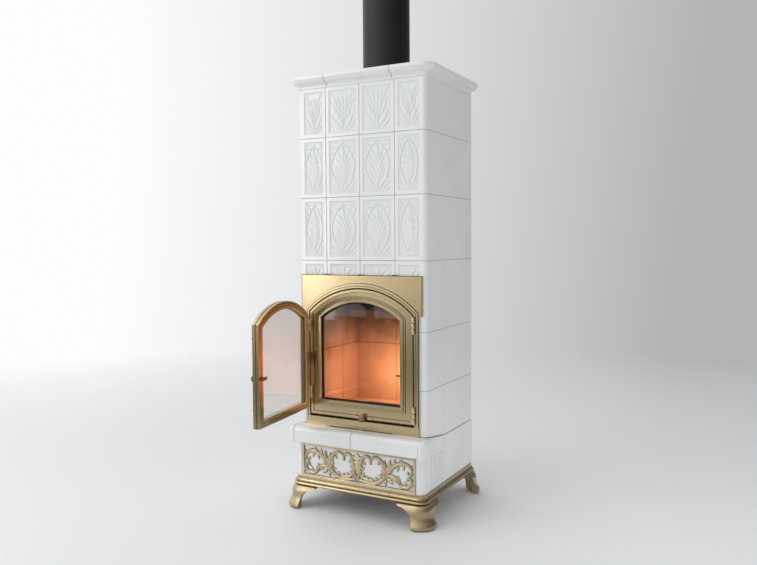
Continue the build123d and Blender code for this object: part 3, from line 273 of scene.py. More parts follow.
# light and dark colour, roughness and its spread, metallic, patch scale, speckle scale and strength, then
# scale and strength of the fine grain and of the slow unevenness
finish_table = {
    "white_glaze": ((0.86, 0.865, 0.86), (0.80, 0.81, 0.805), 0.13, 0.06, 0, 3.5, 90, 0.2, 160, 0.05, 9, 0.16),
    "relief_glaze": ((0.82, 0.825, 0.825), (0.77, 0.78, 0.78), 0.05, 0.03, 0, 3.5, 90, 0.2, 160, 0.05, 14, 0.10),
    "joint_filler": ((0.50, 0.49, 0.47), (0.36, 0.355, 0.34), 0.85, 0.1, 0, 30, 700, 0.3, 1500, 0.4, 12, 0.1),
    "satin_brass": ((0.56, 0.435, 0.235), (0.46, 0.345, 0.175), 0.21, 0.06, 1, 5, 420, 0.3, 1300, 0.08, 9, 0.03),
    "cast_brass": ((0.53, 0.41, 0.23), (0.36, 0.265, 0.135), 0.28, 0.16, 1, 22, 500, 0.4, 1100, 0.25, 40, 0.22),
    "carved_brass": ((0.73, 0.62, 0.41), (0.60, 0.49, 0.31), 0.22, 0.12, 1, 30, 600, 0.4, 1200, 0.2, 60, 0.2),
    # painted shade: the near-black of the dark lines laid in the mouldings' corners and gaps
    "painted_shade_lines": ((0.10, 0.07, 0.035), (0.055, 0.038, 0.02), 0.5, 0.2, 0.6, 40, 700, 0.3, 1400, 0.3, 12, 0.1),
    "aged_bronze": ((0.34, 0.22, 0.12), (0.20, 0.12, 0.06), 0.32, 0.15, 1, 40, 700, 0.5, 1400, 0.2, 60, 0.15),
    "bronze_painted_highlight": ((0.34, 0.21, 0.10), (0.20, 0.12, 0.06), 0.30, 0.12, 1, 60, 700, 0.4, 1400, 0.2, 60, 0.2),
    "bright_pin": ((0.70, 0.62, 0.45), (0.55, 0.47, 0.32), 0.22, 0.08, 1, 30, 800, 0.3, 1500, 0.1, 12, 0.1),
    "dull_sheet": ((0.42, 0.42, 0.43), (0.30, 0.30, 0.31), 0.42, 0.15, 1, 20, 400, 0.3, 900, 0.1, 12, 0.1),
    "pipe_paint": ((0.010, 0.010, 0.012), (0.018, 0.018, 0.020), 0.36, 0.10, 0, 5, 600, 0.3, 1600, 0.10, 5, 0.05),
    "cast_iron": ((0.035, 0.034, 0.034), (0.075, 0.066, 0.06), 0.55, 0.2, 0.3, 14, 350, 0.3, 700, 0.5, 12, 0.1),
    "core_block": ((0.50, 0.45, 0.38), (0.40, 0.35, 0.29), 0.85, 0.1, 0, 8, 160, 0.5, 260, 0.6, 12, 0.1),
    "mineral_board": ((0.66, 0.65, 0.62), (0.56, 0.55, 0.52), 0.8, 0.1, 0, 4, 240, 0.5, 500, 0.35, 12, 0.1),
    "firebrick_darker_up": ((0.60, 0.27, 0.13), (0.42, 0.17, 0.08), 0.8, 0.1, 0, 9, 220, 0.45, 350, 0.5, 12, 0.1),
    "rope_seal": ((0.10, 0.095, 0.09), (0.05, 0.05, 0.048), 0.9, 0.05, 0, 60, 500, 0.3, 420, 0.9, 12, 0.1),
    "black_rubber": ((0.022, 0.022, 0.022), (0.035, 0.035, 0.035), 0.7, 0.1, 0, 40, 500, 0.3, 900, 0.3, 12, 0.1),
}
finishes = {name: finish(name, *row) for name, row in finish_table.items()}
shade_recess(finishes["relief_glaze"], (0.80, 0.815, 0.82), 0.0, 0.45, 0.08)
shade_recess(finishes["carved_brass"], (0.075, 0.052, 0.025), 0.28, 0.88, 0.45)
lacquer(finishes["white_glaze"], 0.35, 0.04, 1.5)
for name, weight in (("satin_brass", 0.8), ("cast_brass", 0.8), ("carved_brass", 0.6)):
    lacquer(finishes[name], weight)
principled(finishes["pipe_paint"]).inputs["Specular IOR Level"].default_value = 0.32
# painted highlight on the lever's loop, below 0.6 m
paint_highlight_below(finishes["bronze_painted_highlight"], (0.66, 0.47, 0.24), 0.600, 0.632)
# the firebox's bricks darken towards the top
darken_upward(finishes["firebrick_darker_up"], (0.030, 0.024, 0.020), 0.66, 0.84)
finishes["clear_glass"] = material("clear_glass", {
    "Roughness": 0.02, "Transmission Weight": 1.0, "IOR": 1.45, "Base Color": (0.98, 0.975, 0.965, 1),
})
grain(finishes["clear_glass"], 30.0, 0.01, 5.0, 0.012)

slot_finish = {
    "glazed_tile": "white_glaze",
    "brass": "satin_brass",
    "core_masonry": "core_block",
    "mineral_board": "mineral_board",
    "firebrick": "firebrick_darker_up",
    "cast_iron": "cast_iron",
    "stove_steel": "pipe_paint",
    "pan_steel": "dull_sheet",
    "glass": "clear_glass",
    "rope_seal": "rope_seal",
    "pad_rubber": "black_rubber",
    "pin_steel": "bright_pin",
}
node_slot = {row["node"]: row["material_slot"] for row in frame["record"]["subparts"]}
node_body = {node: body for body, held in frame["record"]["behaviour"]["bodies"].items() for node in held}
for name, node in nodes.items():
    for place in node.material_slots:
        place.material = finishes[slot_finish[node_slot[name]]]


# -------------------- meshes
def new_object(name, data):
    """Object at the origin, linked to the scene."""
    made = bpy.data.objects.new(name, data)
    bpy.context.scene.collection.objects.link(made)
    return made


def even_shading(made, weight):
    """Shades the faces by their size, across soft edges too."""
    shading = made.modifiers.new("even_shading", "WEIGHTED_NORMAL")
    shading.keep_sharp = False
    shading.weight = weight


def grid_faces(rows, columns):
    """Quads between neighbouring rows and columns of a point grid."""
    row, column = np.meshgrid(np.arange(rows - 1), np.arange(columns - 1), indexing="ij")
    first = row * columns + column
    return np.stack([first, first + 1, first + columns + 1, first + columns], axis=-1).reshape(-1, 4).tolist()


def band_faces(rings, around, closed=False):
    """Quads between neighbouring closed rings of points; a closed band joins its last ring to its first."""
    ring, corner = np.meshgrid(np.arange(rings if closed else rings - 1), np.arange(around), indexing="ij")
    after, beside = (ring + 1) % rings, (corner + 1) % around
    here, there = ring * around, after * around
    corners = (here + corner, here + beside, there + beside, there + corner)
    return np.stack(corners, axis=-1).reshape(-1, 4).tolist()


def ends(count, around):
    """The first and last ring of a band of so many points, as faces that close it."""
    first = np.arange(around)
    return [first[::-1].tolist(), (count - around + first).tolist()]


def turned_back(faces):
    """The faces seen from their other side."""
    return [face[::-1] for face in faces]


def join(shells):
    """One list of points, faces and relief heights from several."""
    points, faces, relief = [], [], []
    count = 0
    for some_points, some_faces, some_relief in shells:
        points.append(some_points)
        faces.extend((np.asarray(face) + count).tolist() for face in some_faces)
        relief.append(some_relief)
        count += len(some_points)
    return np.concatenate(points), faces, np.concatenate(relief)


def piece(name, shells, place, finish_name, body, smooth=True, relief_kept=False):
    """New object from shells in mm, put in place by a function; rides on a body."""
    points, faces, relief = join(shells)
    mesh = bpy.data.meshes.new(name)
    mesh.from_pydata((place(points) * MM).tolist(), [], faces)
    mesh.polygons.foreach_set("use_smooth", np.full(len(mesh.polygons), smooth))
    mesh.materials.append(finishes[finish_name])
    if relief_kept:
        heights = mesh.attributes.new("relief", "FLOAT", "POINT")
        heights.data.foreach_set("value", np.asarray(relief, np.float32))
    mesh.update()
    made = new_object(name, mesh)
    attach(made, body)
    return made


def moved(shells, *step):
    """The shells moved by a step in x, y and height."""
    return [(points + step, faces, relief) for points, faces, relief in shells]


def dressed(node, finish_name, width, segments=3, angle=34):
    """A merged, smooth-shaded copy of a CAD node with rounded edges, in its place."""
    shape = bmesh.new()
    shape.from_mesh(nodes[node].data)
    merge_distance, flat_angle = 2e-5, math.radians(0.4)
    bmesh.ops.remove_doubles(shape, verts=shape.verts, dist=merge_distance)
    bmesh.ops.dissolve_limit(
        shape, angle_limit=flat_angle, verts=shape.verts, edges=shape.edges, use_dissolve_boundaries=False
    )
    mesh = bpy.data.meshes.new(node + "_casting")
    shape.to_mesh(mesh)
    shape.free()
    mesh.polygons.foreach_set("use_smooth", np.ones(len(mesh.polygons), bool))
    mesh.materials.append(finishes[finish_name])
    made = new_object(node + "_casting", mesh)
    rounding = made.modifiers.new("edge_rounding", "BEVEL")
    rounding.width = width * MM
    rounding.segments = segments
    rounding.limit_method = "ANGLE"
    rounding.angle_limit = math.radians(angle)
    rounding.use_clamp_overlap = True
    even_shading(made, 70)
    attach(made, node_body[node])
    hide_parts(node)


for side in ("front_left", "front_right", "back_left", "back_right"):
    dressed("foot_" + side, "cast_brass", 2.0, angle=40)
for side in ("front", "back", "left", "right"):
    dressed("plinth_moulding_" + side, "satin_brass", 0.8, 2, 40)
    dressed("cornice_" + side, "white_glaze", 1.4)
for side in ("left", "right"):
    dressed("shelf_front_" + side, "white_glaze", 1.6)
    dressed("shelf_corner_" + side, "white_glaze", 1.6)
    dressed("corner_tiles_" + side, "white_glaze", 1.3)
    dressed("side_tiles_" + side, "white_glaze", 1.5)
    dressed("base_tiles_" + side, "white_glaze", 1.3)
for course in range(1, 5):
    dressed(f"relief_tiles_course_{course}", "white_glaze", 1.3)
for node in ("door_surround", "door_frame", "leaf_frame"):
    dressed(node, "satin_brass", 0.7, 2, 32)
dressed("door_lever", "bronze_painted_highlight", 1.2, angle=32)
dressed("leaf_latch", "aged_bronze", 1.2, angle=32)
dressed("air_slide", "satin_brass", 1.0, angle=32)


# -------------------- tile reliefs
def bezier(first, control, last, count=12):
    """Points on a quadratic curve: (1-t)^2 first + 2t(1-t) control + t^2 last."""
    t = np.linspace(0, 1, count)[:, None]
    return (1 - t) ** 2 * np.array(first) + 2 * t * (1 - t) * np.array(control) + t**2 * np.array(last)


def motif(paired, single):
    """Strokes of a relief: the paired ones, their mirror images about x = 0, and those on the middle line. A
    row has the curve's first, control and last point, with x from -1 to 1 over half the panel's width and y from
    0 to 1 over its height; its widths at the start, middle and end, and its rise, in mm; and its count of points
    if not 12."""
    right, middle = (
        [(bezier(row[:2], row[2:4], row[4:6], *row[10:]), row[6:9], row[9]) for row in rows]
        for rows in (paired, single)
    )
    return right + [(line * (-1, 1), widths, rise) for line, widths, rise in right] + middle


cartouche = motif([
    (0, 0.06, 1.72, 0.50, 0, 0.95, 2.6, 3.0, 2.6, 2.6, 26),
    (0, 0.12, 0.16, 0.40, 0.56, 0.53, 1.5, 6.5, 1.0, 2.4),
    (0, 0.26, 0.10, 0.52, 0.52, 0.66, 1.5, 6.5, 1.0, 2.4),
    (0, 0.42, 0.06, 0.62, 0.38, 0.77, 1.5, 6.0, 1.0, 2.2),
    (0.05, 0.16, 0.42, 0.28, 0.50, 0.42, 1.0, 4.5, 1.0, 1.8),
    (0.06, 0.02, 0.42, 0.18, 0.92, 0.33, 1.5, 6.0, 1.0, 2.4),
    (0.10, 0.02, 0.52, 0.08, 0.90, 0.20, 1.5, 5.5, 1.0, 2.2),
    (0.16, 0.02, 0.55, 0.02, 0.88, 0.08, 1.5, 4.5, 1.0, 2.0),
    (0.12, 0.04, 0.50, 0.22, 0.72, 0.40, 1.0, 4.0, 1.0, 1.8),
    (0.92, 0.98, 0.70, 0.84, 0.36, 0.88, 1.5, 5.0, 1.0, 2.2),
    (0.94, 0.94, 0.86, 0.78, 0.66, 0.70, 1.5, 4.5, 1.0, 2.0),
    (0.80, 0.98, 0.60, 0.93, 0.44, 0.96, 1.0, 3.5, 1.0, 1.8),
    (0.84, 0.90, 0.88, 0.86, 0.86, 0.82, 4.0, 4.5, 4.0, 2.0, 5),
], [
    (0, 0.08, 0, 0.4, 0, 0.70, 2.6, 2.2, 1.6, 2.4),
    (0, 0.60, 0, 0.74, 0, 0.90, 1.5, 8.0, 0.8, 2.6),
    (0, 0.0, 0, 0.05, 0, 0.10, 6.0, 5.0, 3.0, 2.4, 6),
])
branches = motif([
    (0, 0.02, 0.12, 0.45, 0.74, 0.92, 2.8, 2.4, 1.6, 2.4, 18),
    (0.02, 0.04, 0.48, 0.18, 0.84, 0.44, 1.5, 7.0, 1.0, 2.4),
    (0.04, 0.02, 0.52, 0.06, 0.90, 0.22, 1.5, 6.0, 1.0, 2.2),
    (0.14, 0.30, 0.50, 0.44, 0.66, 0.64, 1.2, 6.5, 1.0, 2.4),
    (0.20, 0.42, 0.18, 0.66, 0.36, 0.84, 1.2, 6.0, 1.0, 2.2),
    (0.42, 0.66, 0.66, 0.68, 0.90, 0.76, 1.2, 5.0, 1.0, 2.0),
    (0.88, 0.96, 0.80, 0.90, 0.72, 0.95, 1.5, 4.5, 1.0, 2.0),
], [
    (0, 0.02, 0.03, 0.4, 0, 0.66, 2.4, 2.2, 1.4, 2.4),
    (0, 0.50, 0.05, 0.66, 0, 0.84, 1.5, 7.5, 0.8, 2.4),
])
crest = motif([
    (0.05, 0.0, 0.25, 0.45, 0.62, 0.72, 2.0, 6.0, 1.0, 2.2),
    (0.40, 0.0, 0.66, 0.30, 0.92, 0.50, 2.0, 5.0, 1.0, 2.0),
    (0.90, 0.94, 0.72, 0.80, 0.40, 0.88, 1.2, 4.5, 1.0, 2.0),
], [(0, 0.0, 0, 0.5, 0, 0.92, 2.0, 7.0, 0.8, 2.4)])


def relief_height(x, y, half, tall, strokes):
    """Greatest of the strokes' rounded ridges, rise * sqrt(1 - (distance/half-width)^2), each with a vein."""
    height = np.zeros_like(x)
    spots = np.stack([x, y], axis=-1)
    for shape, (first, middle, last), rise in strokes:
        line = shape * np.array([half, tall])
        share = np.linspace(0, 1, len(line))
        end = np.where(share < 0.5, first, last)
        width = end + (middle - end) * np.sin(share * math.pi)
        low = line.min(axis=0) - width.max()
        high = line.max(axis=0) + width.max()
        near = ((spots > low) & (spots < high)).all(axis=-1)
        if not near.any():
            continue
        here = spots[near]
        start, run = line[:-1], line[1:] - line[:-1]
        along = np.clip(((here[:, None] - start) * run).sum(-1) / (run**2).sum(-1), 0, 1)
        gap = np.linalg.norm(here[:, None] - (start + along[..., None] * run), axis=-1)
        reach = width[:-1] + along * (width[1:] - width[:-1])
        ratio = gap / np.maximum(reach, 0.3)
        best = np.arange(len(here)), ratio.argmin(axis=1)
        ratio, reach = ratio[best], reach[best]
        ridge = rise * np.sqrt(np.clip(1 - ratio**2, 0, 1)) * np.clip(reach / 2.5, 0.4, 1)
        ridge *= 1 - 0.35 * np.exp(-((ratio / 0.22) ** 2)) * (reach > 3)
        height[near] = np.maximum(height[near], ridge)
    return height


def panel_relief(left, right, low, high, strokes, scale=1.0):
    """Closed slab whose face carries the relief: a grid over the panel, raised by relief_height."""
    grid_step = 0.95
    columns = int((right - left) / grid_step)
    rows = int((high - low) / grid_step)
    x, z = np.meshgrid(np.linspace(left, right, columns), np.linspace(low, high, rows))
    rise = relief_height(x - (left + right) / 2, z - low, (right - left) / 2, high - low, strokes) * scale
    edge = np.minimum(np.minimum(x - left, right - x), np.minimum(z - low, high - z))
    cove = 3.0 * np.clip(1 - edge / cove_width, 0, 1) ** 1.8
    bead = 0.8 * np.exp(-(((edge - cove_width - 1.2) / 1.1) ** 2))
    rise = np.maximum(rise * np.clip(edge / 3.0 - 0.5, 0, 1), np.maximum(cove, bead)) + 0.12
    face = np.stack([x, panel_sink - rise, z], axis=-1).reshape(-1, 3)
    rim = np.concatenate([
        np.arange(columns), np.arange(1, rows) * columns + columns - 1,
        (rows - 1) * columns + np.arange(columns - 2, -1, -1), np.arange(rows - 2, 0, -1) * columns,
    ])
    skirt = face[rim].copy()
    skirt[:, 1] = panel_sink + 0.6
    ring = len(face) + np.arange(len(rim))
    sides = np.stack([rim, ring, np.roll(ring, -1), np.roll(rim, -1)], axis=-1)
    faces = [*grid_faces(rows, columns), *sides.tolist(), ring[::-1].tolist()]
    return np.concatenate([face, skirt]), faces, np.concatenate([rise.ravel() / 3, np.zeros(len(rim))])


def on_front(points):
    """Depth behind the tile face to the frame's Y."""
    return points + (0, front_y, 0)


corner_left, corner_right = tile_pitch + tile_joint / 2, half_width - corner_radius
column_spans = [
    (-corner_right, -corner_left), (tile_joint / 2 - tile_pitch, -tile_joint / 2),
    (tile_joint / 2, tile_pitch - tile_joint / 2), (corner_left, corner_right),
]
for row, strokes in enumerate((branches, cartouche, cartouche, crest)):
    low = course_tops[row] - course_heights[row] + tile_joint
    if row == 3:
        low = surround_top + tile_joint - 2 * tile_rim
    panels = [
        panel_relief(left + tile_rim, right - tile_rim, low + tile_rim, course_tops[row] - tile_rim, strokes)
        for left, right in column_spans
    ]
    name = f"leaf_relief_course_{row + 1}"
    piece(name, panels, on_front, "relief_glaze", "stove", relief_kept=True)

strip_span = (strip_start + tile_rim, corner_return - tile_joint - tile_rim)


def on_side(points, side):
    """Strip panel laid on the base's side at x = side * base_half, its own x along the depth."""
    along = points[:, 0] if side > 0 else sum(strip_span) - points[:, 0]
    return np.stack([side * (base_half - points[:, 1]), front_y + along, points[:, 2]], axis=-1)


def on_left(points):
    """Strip panel on the base's left side."""
    return on_side(points, -1)


def on_right(points):
    """Strip panel on the base's right side."""
    return on_side(points, 1)


strip_panel = panel_relief(*strip_span, plinth_top + tile_rim, shelf_bottom - tile_rim, branches, 0.8)
for name, place in (("leaf_relief_base_left", on_left), ("leaf_relief_base_right", on_right)):
    piece(name, [strip_panel], place, "relief_glaze", "stove", relief_kept=True)


# -------------------- filled joints between the tiles
def prism(outline, low, high):
    """Upright prism over an outline of x and depth, taken anticlockwise from above."""
    count = len(outline)
    points = np.concatenate([np.column_stack([outline, np.full(count, z)]) for z in (low, high)])
    return points, band_faces(2, count) + ends(2 * count, count), np.zeros(2 * count)


def bar(x, depth, z):
    """Upright prism over a rectangle."""
    return prism([(x[0], depth[0]), (x[1], depth[0]), (x[1], depth[1]), (x[0], depth[1])], *z)


def corner_arc(inset):
    """Points round the column's right corner, set in by a margin, from the front face to the side face."""
    turn = np.linspace(0, math.pi / 2, 7)
    radius = corner_radius - inset
    across = half_width - corner_radius + radius * np.sin(turn)
    return np.column_stack([across, corner_radius - radius * np.cos(turn)])


joint_recess, joint_deep, joint_play = 1.8, 7, 0.03
joint_start = 252  # where the level joints beside the door begin
joint_top = tile_top - 0.1
flip = np.array([-1, 1])
outer, inner = corner_arc(joint_recess), corner_arc(joint_deep)
back = np.array([(half_width - joint_recess, body_depth), (half_width - joint_deep, body_depth)])
all_round = np.concatenate([
    back[:1] * flip, (outer * flip)[::-1], outer, back, inner[::-1], inner * flip, back[1:] * flip,
])
beside_door = np.concatenate([
    [(joint_start, joint_recess)], outer, back, inner[::-1], [(joint_start, joint_deep)],
])
joints = []
for row in range(5):
    span = (course_tops[row + 1] + joint_play, course_tops[row + 1] + tile_joint - joint_play)
    if row < 3:
        joints.append(prism(all_round, *span))
    else:
        joints += [prism(beside_door, *span), prism((beside_door * flip)[::-1], *span)]
joint_half = tile_joint / 2 - joint_play
for x in (-tile_pitch, 0, tile_pitch):
    depths = (joint_recess + 0.2, joint_deep)
    joints.append(bar((x - joint_half, x + joint_half), depths, (surround_top + 4, joint_top)))
base_joint = (plinth_top + 0.5, shelf_bottom - 0.5)
for side in (-1, 1):
    for depth, reach, z in (
        (corner_return - 1, half_width, (side_bottom, joint_top)),
        (strip_start - 1, base_half, base_joint),
        (corner_return - 1, base_half, base_joint),
    ):
        x = sorted((side * (reach - joint_deep), side * (reach - joint_recess - 0.2)))
        joints.append(bar(x, (depth - joint_half, depth + joint_half), z))
piece("joint_fillings", joints, on_front, "joint_filler", "stove", smooth=False)


# -------------------- carved grille
def spline(points, count):
    """Natural cubic through the points, by chord length; returns places and unit directions."""
    knots = np.array(points, float)
    place = np.concatenate([[0], np.cumsum(np.linalg.norm(np.diff(knots, axis=0), axis=1))])
    step = np.diff(place)
    size = len(knots)
    matrix = np.eye(size)
    target = np.zeros((size, 2))
    for row in range(1, size - 1):
        matrix[row, row - 1:row + 2] = step[row - 1], 2 * (step[row - 1] + step[row]), step[row]
        slope_before = (knots[row] - knots[row - 1]) / step[row - 1]
        target[row] = 6 * ((knots[row + 1] - knots[row]) / step[row] - slope_before)
    bend = np.linalg.solve(matrix, target)
    at = np.linspace(0, place[-1], count)
    part = np.clip(np.searchsorted(place, at, side="right") - 1, 0, size - 2)
    h = step[part][:, None]
    after = (at - place[part])[:, None]
    before = h - after
    line = (
        bend[part] * before**3 / (6 * h) + bend[part + 1] * after**3 / (6 * h)
        + (knots[part] / h - bend[part] * h / 6) * before
        + (knots[part + 1] / h - bend[part + 1] * h / 6) * after
    )
    along = np.gradient(line, axis=0)
    return line, along / np.linalg.norm(along, axis=1)[:, None]


def raised_band(line, along, half, across, height):
    """Closed shell over a line: each cross-section spans half * across to both sides and rises by height, its
    foot a little below the backing; height is one value for each place and cross point."""
    aside = np.column_stack([-along[:, 1], along[:, 0]])
    flat = line[:, None] + half[:, None, None] * across[None, :, None] * aside[:, None]
    top = np.concatenate([flat, height[..., None]], axis=-1)
    foot = np.concatenate([flat[:, [-1, 0]], np.full((len(line), 2, 1), -0.3)], axis=-1)
    points = np.concatenate([top, foot], axis=1).reshape(-1, 3)
    around = len(across) + 2
    faces = turned_back(band_faces(len(line), around) + ends(len(points), around))
    share = height / height.max(axis=1, keepdims=True)
    relief = np.clip(np.concatenate([share, np.zeros((len(line), 2))], axis=1), 0, 1).ravel()
    return points, faces, relief


def stem(points, widths, count=44):
    """Round stem with two flutes: height = rise * sqrt(1 - 0.97 u^2), less a groove at u = -0.4 and 0.4."""
    line, along = spline(points, count)
    share = np.linspace(0, 1, count)
    swell = np.sin(math.pi * share)
    half = (widths[0] * (1 - share) + widths[2] * share) * (1 - swell) / 2 + widths[1] * swell / 2
    right = np.array([0.15, 0.32, 0.4, 0.48, 0.62, 0.8, 0.93, 1])
    across = np.concatenate([-right[::-1], [0], right])
    bulge = np.sqrt(1 - 0.97 * across**2) - 0.34 * np.exp(-(((np.abs(across) - 0.4) / 0.09) ** 2))
    rise = 4.6 + 0.36 * half
    return raised_band(line, along, half, across, rise[:, None] * bulge[None])


def carved_leaf(root, length, direction, width, bend=0, count=25):
    """Lobed leaf along an arc: half-width = width/2 * sin(pi s^0.75)^0.8, scalloped in four lobes that rise
    and fall with the same wave; a groove runs along its midrib."""
    share = np.linspace(0, 1, count)
    turn = math.radians(direction) + math.radians(bend) * share
    along = np.column_stack([np.cos(turn), np.sin(turn)])
    steps = along * length / (count - 1)
    line = np.array(root, float) + np.concatenate([[(0, 0)], np.cumsum((steps[:-1] + steps[1:]) / 2, axis=0)])
    half = width / 2 * np.sin(math.pi * np.clip(share, 0.06, 0.985) ** 0.75) ** 0.8
    wave = np.sin(2 * math.pi * 4 * share)
    half = half * (1 + 0.2 * wave)
    across = np.array([-1, -0.8, -0.55, -0.3, -0.14, 0, 0.14, 0.3, 0.55, 0.8, 1])
    fold = 1 - 0.7 * np.abs(across) ** 1.8 - 0.3 * np.exp(-((across / 0.12) ** 2))
    lobes = 1 + 0.14 * wave[:, None] * np.abs(across[None]) ** 0.5
    rise = (3.2 + 2.6 * np.sin(math.pi * np.clip(share, 0, 0.9))) * (half / (width / 2)) ** 0.4
    return raised_band(line, along, half, across, rise[:, None] * fold[None] * lobes)


def dome(centre, radius, height, rings=7, around=20):
    """Button: rings at radius * cos(a) and height * sin(a), closed by a cap and a foot."""
    lift = np.linspace(0, math.pi / 2 * 0.96, rings)
    turn = np.linspace(0, 2 * math.pi, around, endpoint=False)
    rows = [(radius, -0.3), *zip(radius * np.cos(lift), height * np.sin(lift))]
    x, y = centre
    points = np.array([(x + r * math.cos(a), y + r * math.sin(a), h) for r, h in rows for a in turn])
    faces = band_faces(len(rows), around) + ends(len(points), around)
    return points, faces, np.clip(points[:, 2] / 5.0, 0, 1)


def mirrored(shell):
    """The shell reflected about x = 0, faces turned back outward."""
    points, faces, relief = shell
    return points * (-1, 1, 1), turned_back(faces), relief


def grille_frame():
    """Mitred frame: a section of insets and heights carried round the rectangle."""
    section = [
        (0, -0.3), (0, 6.6), (0.5, 7.6), (1.4, 8), (3.6, 8), (4.4, 7.6), (4.9, 6.6), (5.4, 6.0), (6.6, 6.0),
        (7.1, 6.6), (7.9, 7.6), (9, 7.9), (10.2, 7.5), (11.2, 6.2), (11.8, 4.6), (12, 3), (12, -0.3),
    ]
    points = []
    for inset, height in section:
        x, y = grille_half - inset, (grille_top - plinth_top) / 2 - inset
        points += [(-x, -y, height), (x, -y, height), (x, y, height), (-x, y, height)]
    points = np.array(points, float)
    return points, band_faces(len(section), 4, closed=True), np.clip((points[:, 2] - 3) / 5, 0, 1)


# stems, eyes and leaves of the right half, in mm from the panel's middle; a stem has its points and its widths
# at the start, middle and end, a leaf its root, length, direction, width and bend
grille_stems = [
    (
        [(5, -50), (45, -56), (88, -53), (118, -32), (128, 4), (112, 38), (84, 50), (64, 38), (62, 22)],
        (12, 18, 9),
    ),
    ([(2, -44), (14, -20), (16, 10), (26, 38), (46, 50), (60, 42), (62, 22)], (14, 15, 9)),
    ([(14, -8), (22, -32), (44, -44), (74, -45)], (8, 16, 9)),
    (
        [(84, -52), (120, -36), (146, -2), (172, 28), (208, 42), (240, 32), (249, 8), (240, -2), (230, 8)],
        (10, 17, 9),
    ),
    (
        [
            (126, -28), (158, -14), (182, -26), (198, -46), (222, -52), (242, -42), (248, -22), (238, -12),
            (229, -22),
        ],
        (9, 16, 9),
    ),
    ([(138, -14), (133, 14), (126, 44)], (8, 13, 5)),
    ([(143, -6), (148, 20), (153, 50)], (8, 12, 5)),
]
grille_eyes = [(62, 22), (74, -45), (230, 8), (229, -22)]
grille_leaves = [
    ((5, 6), 46, 60, 17, -25), ((4, 28), 31, 50, 15, -30), ((5, -16), 34, 36, 14, 30),
    ((24, -40), 25, 52, 14, 40), ((46, -50), 24, 74, 13, 40), ((70, -51), 23, 100, 13, 40),
    ((18, -8), 22, 16, 12, 40), ((96, -44), 22, 124, 13, 40), ((118, -22), 21, 165, 13, 40),
    ((126, 4), 20, 185, 12, 40), ((106, 34), 18, 215, 11, 40), ((26, 22), 19, -14, 11, -40),
    ((132, -18), 56, 76, 19, -22), ((122, -28), 60, 91, 15, 10), ((146, -8), 42, 50, 15, 34),
    ((142, -22), 38, -60, 17, 26), ((130, -30), 30, -82, 14, -14), ((160, -16), 32, -38, 14, -30),
    ((174, 26), 33, 106, 13, -34), ((163, 12), 32, 128, 13, -30), ((198, 39), 22, 86, 12, -30),
    ((206, 41), 31, -62, 13, -35), ((186, 32), 27, -80, 13, -35), ((214, -52), 28, 64, 13, 30),
    ((192, -38), 24, 82, 12, 30), ((247, 30), 18, 42, 11, 20), ((248, -38), 18, -42, 11, -20),
    ((178, -27), 24, 44, 11, 30),
]
shells = [grille_frame()]
for half_panel in (
    [stem(*row) for row in grille_stems],
    [carved_leaf(*row) for row in grille_leaves],
    [dome(eye, 5.6, 5.4) for eye in grille_eyes],
):
    shells += half_panel + [mirrored(shell) for shell in half_panel]
middle_leaves = (((0, -30), 84, 90, 26), ((0, 18), 41, 90, 32), ((0, -32), 28, -90, 27))
shells += [carved_leaf(*row) for row in middle_leaves]


def on_panel(points):
    """Local places on the grille's panel, height to the front, to the frame."""
    up = (plinth_top + grille_top) / 2 + points[:, 1]
    return on_front(np.column_stack([points[:, 0], grille_back - points[:, 2], up]))


grille = piece("carved_grille", shells, on_panel, "carved_brass", "stove", relief_kept=True)
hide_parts("scroll_grille")
even_shading(grille, 50)


# -------------------- painted shade: dark lines in the corners and gaps of the mouldings, the air slot and the leaf's reveal
def stand_on(points, origin, across, out):
    """Local x, y and height to the frame: x along across, y up and height along out."""
    up = np.array([0.0, 0.0, 1.0])
    return np.array(origin, float) + points[:, :1] * across + points[:, 1:2] * up + points[:, 2:] * out


def on_door(points):
    """Local places on the tile face to the frame, x to the right and height to the front."""
    return stand_on(points, (0, front_y, 0), np.array([1.0, 0, 0]), np.array([0, -1.0, 0]))


def on_leaf(points, side=1):
    """Local places on the open leaf to the frame, x from its hinge axis; side is -1 on the leaf's back."""
    across = np.array([math.cos(leaf_angle), -math.sin(leaf_angle), 0])
    out = np.array([-math.sin(leaf_angle), -math.cos(leaf_angle), 0])
    return stand_on(points, (leaf_hinge_x, front_y - leaf_hinge_depth, 0), side * across, side * out)


def on_leaf_back(points):
    """Local places on the back of the open leaf to the frame."""
    return on_leaf(points, -1)


def arch_line(half, bottom, radius, centre=arch_centre, middle=0.0, count=60):
    """Up one side, over the arch and down the other: the arch is radius * (sin a, cos a) about its centre."""
    spring = centre + math.sqrt(radius**2 - half**2)
    reach = math.asin(half / radius)
    turn = np.linspace(-reach, reach, count)
    arch = np.column_stack([middle + radius * np.sin(turn), centre + radius * np.cos(turn)])
    legs = np.linspace(bottom, spring, 8)[:-1]
    left = np.column_stack([np.full(7, middle - half), legs])
    right = np.column_stack([np.full(7, middle + half), legs[::-1]])
    return np.concatenate([left, arch, right])


def straight(first, last):
    """Twelve points from one place to another."""
    return np.linspace(first, last, 12)


def thin_line(path, width=2.3, height=0.35):
    """Low rounded strip along a path."""
    along = np.gradient(path, axis=0)
    along /= np.linalg.norm(along, axis=1)[:, None]
    across = np.array([-1, -0.6, 0.6, 1.0])
    rise = np.broadcast_to(np.array([0.25, 1, 1, 0.25]) * height, (len(path), 4))
    return raised_band(path, along, np.full(len(path), width / 2), across, rise)


def outline_lines(half, bottom, radius, *size, centre=arch_centre, middle=0):
    """Arched line and the straight one that closes it below; size is their width and height."""
    foot = straight((middle - half, bottom), (middle + half, bottom))
    return [thin_line(arch_line(half, bottom, radius, centre, middle), *size), thin_line(foot, *size)]
